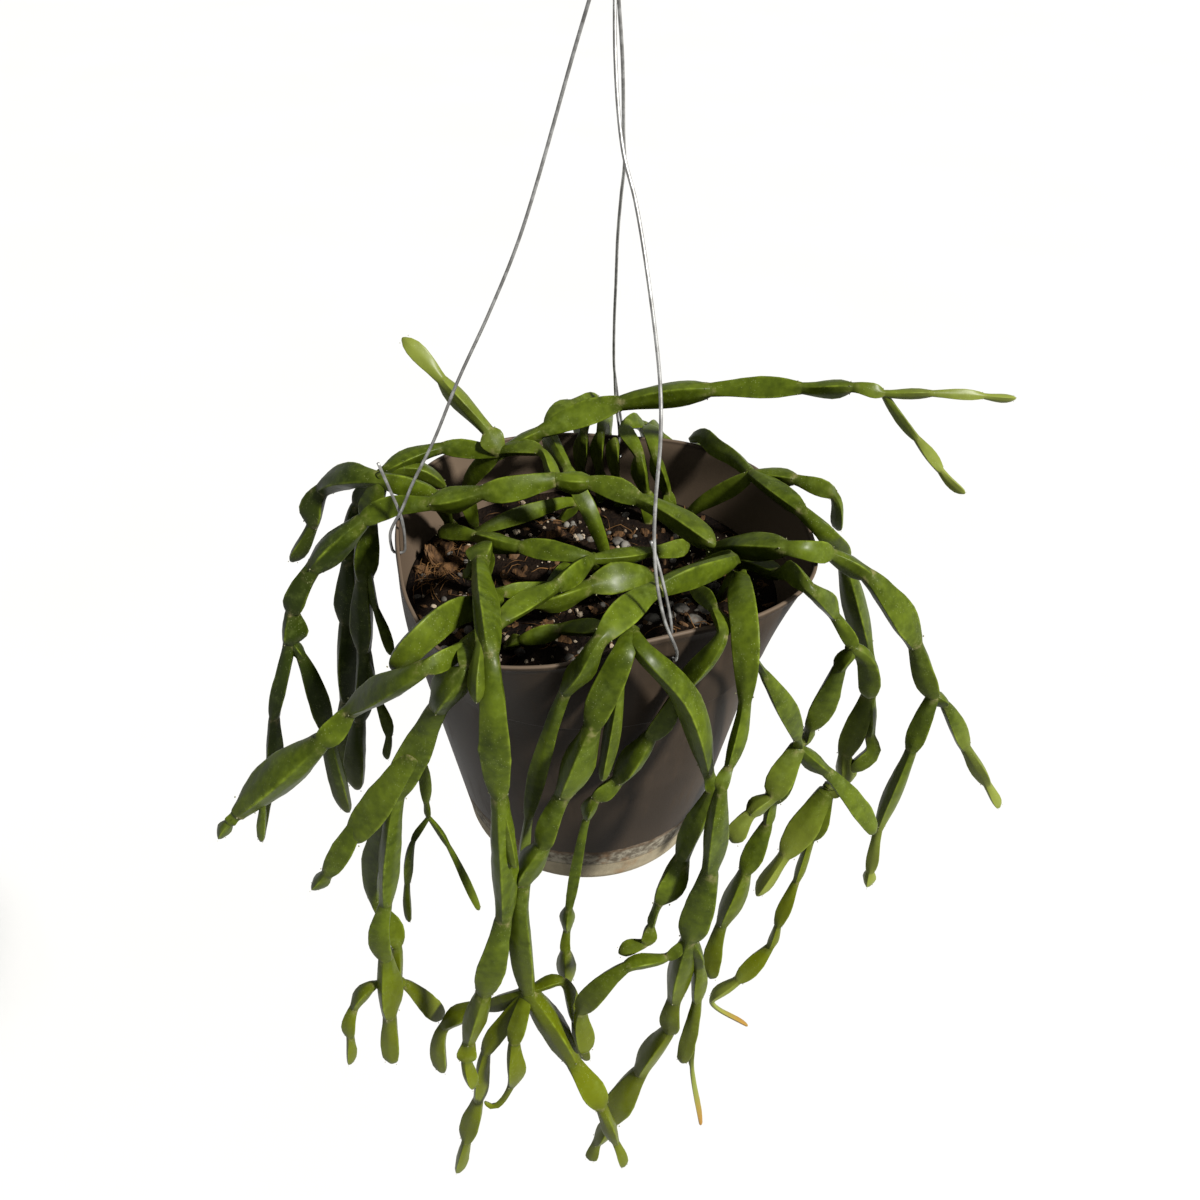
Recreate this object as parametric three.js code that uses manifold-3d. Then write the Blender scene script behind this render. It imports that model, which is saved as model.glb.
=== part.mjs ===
import * as THREE from 'three';
import { mergeVertices } from 'three/addons/utils/BufferGeometryUtils.js';
import Module from 'manifold-3d';

// Chain cactus in a hanging pot, millimetres, +Z up.
// The origin is the point where the wire hook bears on whatever holds it.
// Inside the hanging group, points are measured from the centre of the pot's rim.

const wasm = await Module();
wasm.setup();

// Pot
const RIM_RADIUS = 124;
const BASE_RADIUS = 81.3;
const POT_HEIGHT = 226;
const WALL = 1.6;
const FLOOR = 2.6;
const BEAD = 0.6;
const BEAD_HEIGHT = 3.2;
const COLLAR_HEIGHT = 58;
const COLLAR_STEP = 1.5;
const CORNER = 7;
const POT_SEGMENTS = 32;
const DRAIN_COUNT = 4;
const DRAIN_RADIUS = 4.5;
const DRAIN_CIRCLE = 52;

// The rim is pulled in where the wires carry it and bulges between them.
// These are shares of the round radius at equal steps of azimuth, from +X towards +Y.
const RIM_SHARES = [
  1.07, 1.06, 1.06, 1.012, 0.945, 0.965, 1.0, 1.035, 0.985,
  0.925, 0.925, 1.01, 1.125, 1.049, 0.905, 0.897, 1.004, 1.086,
];
const RIM_REACH = 80;

// Soil
const SOIL_LEVEL = -42;
const SOIL_RELIEF = 1.1;
const SOIL_GAP = 0.35;
const ROOT_DEPTH = 20;
const ROOT_GAP = 0.35;
const ROOT_SIDES = 6;
const ROOT_FLARE = 7;
const CHUNK_HEIGHT = 0.45;

// Hanger
const RIM_BELOW_HOOK = 365;
const RIM_OFFSET_X = -6;
const HOOK_ROD = 1.6;
const HOOK_BEND = 11;
const FERRULE_RADIUS = 5;
const FERRULE_TOP = -40;
const FERRULE_BOTTOM = -58;
const WIRE_RADIUS = 0.9;
const WIRE_SOCKET = 8;
const WIRE_SPREAD = 2.6;
const WIRE_HOLE_RADIUS = 1.5;
const WIRE_HOLE_LEVEL = -15;
const HOLE_SIDES = 8;

// Stems: each link swells between two tight joints and has three ribs.
// The radii at rib and joint are shares of the link's girth, and the skew moves the swell outwards.
const STEM_SIDES = 6;
const RIB = 0.62;
const VALLEY = 0.6;
const JOINT = 0.34;
const SWELL = 0.7;
const SKEW = 1.3;
const RIB_TURN = THREE.MathUtils.degToRad(25);
const LONG_LINK = 95;
const LONG_RINGS = [0.18, 0.55, 0.86];
const LINK_RINGS = [0.33, 0.8];
const SHORT_LINK = 24;
const SHORT_RINGS = [0.6];
const SPAN_SAMPLES = 12;

const BROWN_PLASTIC = { color: 0x5f5246, roughness: 0.55, metalness: 0 };
const WET_SOIL = { color: 0x241c16, roughness: 0.95, metalness: 0 };
const GREEN_SKIN = { color: 0x5f8034, roughness: 0.45, metalness: 0 };
const ZINC_WIRE = { color: 0x9a9a96, roughness: 0.4, metalness: 0.9 };

const UP = new THREE.Vector3(0, 0, 1);

// A closed shape with its shared corners merged, ready to be joined or cut.
function solid(geometry) {
  const bare = geometry.clone();
  bare.deleteAttribute('normal');
  bare.deleteAttribute('uv');
  const merged = mergeVertices(bare, 1e-4);
  const corners = merged.index.array;
  const faces = [];
  for (let i = 0; i < corners.length; i += 3) {
    const [a, b, c] = corners.slice(i, i + 3);
    if (a !== b && b !== c && c !== a) {
      faces.push(a, b, c);
    }
  }
  const mesh = new wasm.Mesh({
    numProp: 3,
    vertProperties: new Float32Array(merged.attributes.position.array),
    triVerts: new Uint32Array(faces),
  });
  return new wasm.Manifold(mesh);
}

function geometryOf(manifold) {
  const mesh = manifold.getMesh();
  const geometry = new THREE.BufferGeometry();
  geometry.setAttribute('position', new THREE.BufferAttribute(mesh.vertProperties, 3));
  geometry.setIndex(new THREE.BufferAttribute(mesh.triVerts, 1));
  geometry.computeVertexNormals();
  return geometry;
}

function named(name, geometry, finish) {
  const mesh = new THREE.Mesh(geometry, new THREE.MeshStandardMaterial(finish));
  mesh.name = name;
  return mesh;
}

// A skin over rings of equal size, closed at each end by a fan to a pole.
function skin(rings, firstPole, lastPole) {
  const sides = rings[0].length;
  const corners = [...rings.flat(), firstPole, lastPole];
  const first = corners.length - 2;
  const last = corners.length - 1;
  const top = (rings.length - 1) * sides;
  const faces = [];
  for (let j = 0; j < sides; j += 1) {
    const k = (j + 1) % sides;
    faces.push(first, k, j);
    faces.push(last, top + j, top + k);
    for (let i = 0; i < rings.length - 1; i += 1) {
      const low = i * sides;
      const high = low + sides;
      faces.push(low + j, low + k, high + k);
      faces.push(low + j, high + k, high + j);
    }
  }
  const geometry = new THREE.BufferGeometry().setFromPoints(corners);
  geometry.setIndex(faces);
  return geometry;
}

// Stations hold a centre, a heading and the radius of each corner.
// The section is carried from one heading to the next without twisting.
function sweep(stations, firstPole, lastPole) {
  const across = new THREE.Vector3(0, 1, 0);
  if (Math.abs(across.dot(stations[0].heading)) > 0.9) {
    across.set(1, 0, 0);
  }
  const rings = stations.map(({ centre, heading, radii }) => {
    across.addScaledVector(heading, -across.dot(heading)).normalize();
    const aside = new THREE.Vector3().crossVectors(heading, across);
    return radii.map((radius, j) => {
      const angle = RIB_TURN + (j / radii.length) * 2 * Math.PI;
      return centre.clone()
        .addScaledVector(across, radius * Math.cos(angle))
        .addScaledVector(aside, radius * Math.sin(angle));
    });
  });
  return skin(rings, firstPole, lastPole);
}

// A round rod through the given points, with steps stations to each span.
function rod(points, radius, sides, steps) {
  const path = new THREE.CatmullRomCurve3(points, false, 'centripetal');
  const count = (points.length - 1) * steps;
  const stations = Array.from({ length: count + 1 }, (_, i) => ({
    centre: path.getPoint(i / count),
    heading: path.getTangent(i / count),
    radii: Array(sides).fill(radius),
  }));
  return sweep(stations, points[0], points.at(-1));
}

// The rim's share of the round radius, along a smooth cubic through the listed ones.
function rimShare(azimuth) {
  const count = RIM_SHARES.length;
  const place = (azimuth / (2 * Math.PI) + 1) * count;
  const step = Math.floor(place);
  const part = place - step;
  const [a, b, c, d] = [-1, 0, 1, 2].map((i) => RIM_SHARES[(step + i + count) % count]);
  const bend = 2 * a - 5 * b + 4 * c - d + part * (3 * (b - c) + d - a);
  return b + 0.5 * part * (c - a + part * bend);
}

// How far the wall is pulled in or let out at an azimuth and a height.
function lobed(azimuth, height) {
  const reach = Math.max(0, Math.min(1, 1 + height / RIM_REACH));
  return 1 + reach * reach * (rimShare(azimuth) - 1);
}

function coneRadius(height) {
  return RIM_RADIUS + ((RIM_RADIUS - BASE_RADIUS) * height) / POT_HEIGHT;
}

function outerRadius(height) {
  const step = height > -COLLAR_HEIGHT ? 0 : COLLAR_STEP;
  return coneRadius(height) - step;
}

function innerRadius(height) {
  return outerRadius(height) - WALL;
}

// Turns a profile of radius and height round the upright axis and lobes it.
function turned(profile) {
  const points = profile.map(([radius, height]) => new THREE.Vector2(radius, height));
  const geometry = new THREE.LatheGeometry(points, POT_SEGMENTS);
  geometry.rotateX(Math.PI / 2);
  const places = geometry.attributes.position;
  for (let i = 0; i < places.count; i += 1) {
    const azimuth = Math.atan2(places.getY(i), places.getX(i));
    const factor = lobed(azimuth, places.getZ(i));
    places.setX(i, places.getX(i) * factor);
    places.setY(i, places.getY(i) * factor);
  }
  return geometry;
}

// Heights of the wall's rings, the same outside and in so that the facets run parallel.
const COLLAR_LEVELS = [-COLLAR_HEIGHT + 0.6, -50, SOIL_LEVEL, -16, -BEAD_HEIGHT];
const LOWER_LEVELS = [-POT_HEIGHT + 1.8 * CORNER, -RIM_REACH, -COLLAR_HEIGHT - 1];

function potBody() {
  const bottom = -POT_HEIGHT;
  const foot = BASE_RADIUS - COLLAR_STEP;
  const outside = [
    [0, bottom],
    [foot - CORNER, bottom],
    [foot - 0.35 * CORNER, bottom + 0.2 * CORNER],
    [foot, bottom + 0.75 * CORNER],
    ...[...LOWER_LEVELS, ...COLLAR_LEVELS].map((z) => [outerRadius(z), z]),
    [RIM_RADIUS + BEAD, -BEAD_HEIGHT + 0.5],
    [RIM_RADIUS + BEAD, 0],
  ];
  const inside = [
    [innerRadius(0) + 0.2, 0],
    ...[...LOWER_LEVELS, ...COLLAR_LEVELS].reverse().map((z) => [innerRadius(z), z]),
    [foot - WALL, bottom + CORNER],
    [foot - CORNER, bottom + FLOOR],
    [0, bottom + FLOOR],
  ];
  let body = solid(turned([...outside, ...inside]));
  for (let i = 0; i < DRAIN_COUNT; i += 1) {
    const angle = (i / DRAIN_COUNT) * 2 * Math.PI;
    const drain = new THREE.CylinderGeometry(DRAIN_RADIUS, DRAIN_RADIUS, 4 * FLOOR, HOLE_SIDES);
    drain.rotateX(Math.PI / 2);
    drain.translate(DRAIN_CIRCLE * Math.cos(angle), DRAIN_CIRCLE * Math.sin(angle), bottom + FLOOR);
    body = body.subtract(solid(drain));
  }
  for (const { azimuth } of Object.values(WIRES)) {
    const hole = new THREE.CylinderGeometry(WIRE_HOLE_RADIUS, WIRE_HOLE_RADIUS, 20, HOLE_SIDES);
    hole.rotateZ(Math.PI / 2);
    hole.translate(outerRadius(WIRE_HOLE_LEVEL) * lobed(azimuth, WIRE_HOLE_LEVEL), 0, WIRE_HOLE_LEVEL);
    hole.rotateZ(azimuth);
    body = body.subtract(solid(hole));
  }
  return geometryOf(body);
}

// Lumps of bark and stone that stand out of the soil: place and radius.
const CHUNKS = [
  [-96, 22, 11], [-30, 46, 7], [56, -24, 5], [64, -34, 4.5],
  [19, 45, 5.5], [-70, -70, 8], [30, -60, 6],
];

// Soil: a lobed plug under a rough top, with a plain hole for each root.
function soilBody(roots) {
  const gap = SOIL_GAP + 0.15;
  const levels = [...LOWER_LEVELS, ...COLLAR_LEVELS.filter((z) => z < SOIL_LEVEL)];
  const foot = BASE_RADIUS - COLLAR_STEP;
  const profile = [
    [0, -POT_HEIGHT + FLOOR + SOIL_GAP],
    [foot - CORNER - gap, -POT_HEIGHT + FLOOR + SOIL_GAP],
    [foot - WALL - gap, -POT_HEIGHT + CORNER + 0.2],
    ...levels.map((z) => [innerRadius(z) - gap, z]),
    ...[1, 0.84, 0.5, 0].map((part) => [
      part * (innerRadius(SOIL_LEVEL) - gap),
      SOIL_LEVEL,
    ]),
  ];
  const geometry = turned(profile);
  const places = geometry.attributes.position;
  for (let i = 0; i < places.count; i += 1) {
    const x = places.getX(i);
    const y = places.getY(i);
    const edge = innerRadius(SOIL_LEVEL) * lobed(Math.atan2(y, x), SOIL_LEVEL);
    const middle = Math.hypot(x, y) < 0.93 * edge;
    if (places.getZ(i) > SOIL_LEVEL - 1 && middle) {
      const rough = Math.sin(0.11 * x + 1.3) * Math.cos(0.13 * y) + Math.sin(0.29 * x - 0.23 * y);
      places.setZ(i, SOIL_LEVEL + 0.6 * SOIL_RELIEF + SOIL_RELIEF * 0.5 * rough);
    }
  }
  let body = solid(geometry);
  for (const [x, y, radius] of CHUNKS) {
    const chunk = new THREE.IcosahedronGeometry(radius, 0);
    chunk.scale(1, 0.8, CHUNK_HEIGHT);
    chunk.rotateZ(x);
    chunk.translate(x, y, SOIL_LEVEL + 0.1 * radius);
    body = body.add(solid(chunk));
  }
  for (const { x, y, radius } of roots) {
    const wide = radius + ROOT_GAP / Math.cos(Math.PI / ROOT_SIDES);
    const depth = ROOT_DEPTH + ROOT_GAP;
    const hole = new THREE.CylinderGeometry(wide + ROOT_FLARE, wide, 1.5 * depth, ROOT_SIDES);
    hole.rotateX(Math.PI / 2);
    hole.translate(x, y, SOIL_LEVEL - 0.25 * depth);
    body = body.subtract(solid(hole));
  }
  return geometryOf(body);
}

// A wire hook above a ferrule with three sockets in its lower end.
function hookBody() {
  const crown = HOOK_ROD - HOOK_BEND;
  const arc = [180, 150, 120, 90, 60, 30, 0, -25].map((degrees) => {
    const angle = THREE.MathUtils.degToRad(degrees);
    return new THREE.Vector3(HOOK_BEND * Math.cos(angle), 0, crown + HOOK_BEND * Math.sin(angle));
  });
  const shank = [
    new THREE.Vector3(0, 0, FERRULE_TOP - 6),
    new THREE.Vector3(0, 0, FERRULE_TOP + 5),
    new THREE.Vector3(-4, 0, FERRULE_TOP + 12),
    new THREE.Vector3(-9.5, 0, FERRULE_TOP + 21),
  ];
  const bent = solid(rod([...shank, ...arc], HOOK_ROD, 8, 1));
  const length = FERRULE_TOP - FERRULE_BOTTOM;
  const ferrule = new THREE.CylinderGeometry(FERRULE_RADIUS, FERRULE_RADIUS, length, 16);
  ferrule.rotateX(Math.PI / 2);
  ferrule.translate(0, 0, FERRULE_BOTTOM + length / 2);
  let body = bent.add(solid(ferrule));
  for (const { azimuth } of Object.values(WIRES)) {
    const wide = (WIRE_RADIUS + 0.3) / Math.cos(Math.PI / HOLE_SIDES);
    const socket = new THREE.CylinderGeometry(wide, wide, 2 * WIRE_SOCKET, HOLE_SIDES);
    socket.rotateX(Math.PI / 2);
    const x = WIRE_SPREAD * Math.cos(azimuth);
    const y = WIRE_SPREAD * Math.sin(azimuth);
    socket.translate(x, y, FERRULE_BOTTOM);
    body = body.subtract(solid(socket));
  }
  return geometryOf(body);
}

// A wire runs from its socket to the rim, through its hole and up into a short tail.
function wireBody({ azimuth, span, tail }) {
  const top = FERRULE_BOTTOM + RIM_BELOW_HOOK;
  const x = WIRE_SPREAD * Math.cos(azimuth) - RIM_OFFSET_X;
  const y = WIRE_SPREAD * Math.sin(azimuth);
  const wall = outerRadius(WIRE_HOLE_LEVEL) * lobed(azimuth, WIRE_HOLE_LEVEL);
  const through = [3.1, 2.4, 1, -2.8, -4.2, -4.8].map((out, i) => new THREE.Vector3(
    (wall + out) * Math.cos(azimuth),
    (wall + out) * Math.sin(azimuth),
    WIRE_HOLE_LEVEL + [4.2, 1.1, 0, 0, 1.1, 4.4][i],
  ));
  const route = [
    new THREE.Vector3(x, y, top + WIRE_SOCKET - 0.3),
    new THREE.Vector3(x, y, top - 1),
    ...span.map((point) => new THREE.Vector3(...point)),
    ...through,
    ...tail.map((point) => new THREE.Vector3(...point)),
  ];
  return geometryOf(solid(rod(route, WIRE_RADIUS, 6, 1)));
}

const WIRES = {
  wire_left: {
    azimuth: THREE.MathUtils.degToRad(183.7),
    span: [
      [-12, 6, 253], [-37.5, 4, 172], [-54, 1, 133.5], [-72.6, -2, 95], [-87.7, -5, 60],
      [-101.8, -8.5, 32.7], [-108.6, -10, 17.3], [-116.6, -10.4, 1.6],
    ],
    tail: [[-110, -6.5, 7.5], [-115.1, -6.5, 27.9], [-120.2, -6.5, 45.5]],
  },
  wire_front: {
    azimuth: THREE.MathUtils.degToRad(-66),
    span: [
      [8, -20, 259], [12, -45, 227], [18, -55, 208], [25, -75, 176], [31, -90, 138],
      [32, -100, 115], [31, -106, 85], [31, -112, 67], [33, -116, 46], [38, -118, 23], [45, -114, 2],
    ],
    tail: [[43.6, -98.5, 3], [37, -95, 33], [31, -91, 52]],
  },
  wire_back: {
    azimuth: THREE.MathUtils.degToRad(80.3),
    span: [
      [12, 20, 251], [14, 35, 213], [15, 40, 199], [14, 48, 181], [13, 60, 155],
      [13, 75, 121], [13, 88, 94], [14, 105, 56], [16, 114, 38], [19.6, 122.4, 12], [21.3, 124.6, 0],
    ],
    tail: [[19, 113.4, 3], [16, 113, 27], [14.6, 110, 48]],
  },
};

// A branch is a list of points. A fourth number makes the point a joint:
// it is the girth of the link that follows, and 0 ends the branch.
// A point without one only bends the link that it lies on.
function branchBody(route, rooted, forks) {
  const points = route.map(([x, y, z]) => new THREE.Vector3(x, y, z));
  const path = new THREE.CatmullRomCurve3(points, false, 'centripetal');
  path.arcLengthDivisions = (points.length - 1) * SPAN_SAMPLES;
  const lengths = path.getLengths();
  const total = lengths.at(-1);
  const joints = route.flatMap((point, i) => (point.length > 3 ? [i] : []));
  const girths = joints.map((i) => route[i][3]);
  const stations = [];
  const place = (length, radii) => stations.push({
    centre: path.getPointAt(Math.min(1, length / total)),
    heading: path.getTangentAt(Math.min(1, length / total)),
    radii,
  });
  for (let k = 0; k < joints.length - 1; k += 1) {
    const start = lengths[joints[k] * SPAN_SAMPLES];
    const span = lengths[joints[k + 1] * SPAN_SAMPLES] - start;
    const beside = k > 0 ? girths[k - 1] : girths[k];
    place(start, Array(STEM_SIDES).fill(((girths[k] + beside) / 2) * JOINT));
    const plain = span > SHORT_LINK ? LINK_RINGS : SHORT_RINGS;
    for (const part of span > LONG_LINK ? LONG_RINGS : plain) {
      const swell = Math.sin(Math.PI * part ** SKEW) ** SWELL;
      const crest = girths[k] * (JOINT + (RIB - JOINT) * swell);
      const radii = Array.from({ length: STEM_SIDES }, (_, j) => ((j + k) % 2 ? crest * VALLEY : crest));
      place(start + part * span, radii);
    }
  }
  let lastPole = points.at(-1);
  if (forks.has(String(route.at(-1).slice(0, 3)))) {
    const radius = girths.at(-2) * JOINT;
    place(total, Array(STEM_SIDES).fill(radius));
    lastPole = lastPole.clone().addScaledVector(path.getTangent(1), radius);
  }
  const thick = stations[0].radii[0];
  let firstPole = points[0].clone().addScaledVector(path.getTangent(0), -thick);
  if (rooted) {
    const foot = points[0].clone().addScaledVector(UP, -ROOT_DEPTH);
    const collar = points[0].clone().addScaledVector(UP, -1.5);
    stations.unshift(
      { centre: foot, heading: UP, radii: stations[0].radii },
      { centre: collar, heading: UP, radii: stations[0].radii },
    );
    firstPole = foot;
  }
  return solid(sweep(stations, firstPole, lastPole));
}

// The branches of one plant are fused. The first of them stands in the soil.
function stemBody(branches) {
  const forks = new Set(branches.map((route) => String(route[0].slice(0, 3))));
  const bodies = branches.map((route, i) => branchBody(route, i === 0, forks));
  return geometryOf(bodies.reduce((whole, body) => whole.add(body)));
}

function rootOf(branches) {
  const [x, y, , girth] = branches[0][0];
  return { x, y, radius: girth * JOINT };
}

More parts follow.
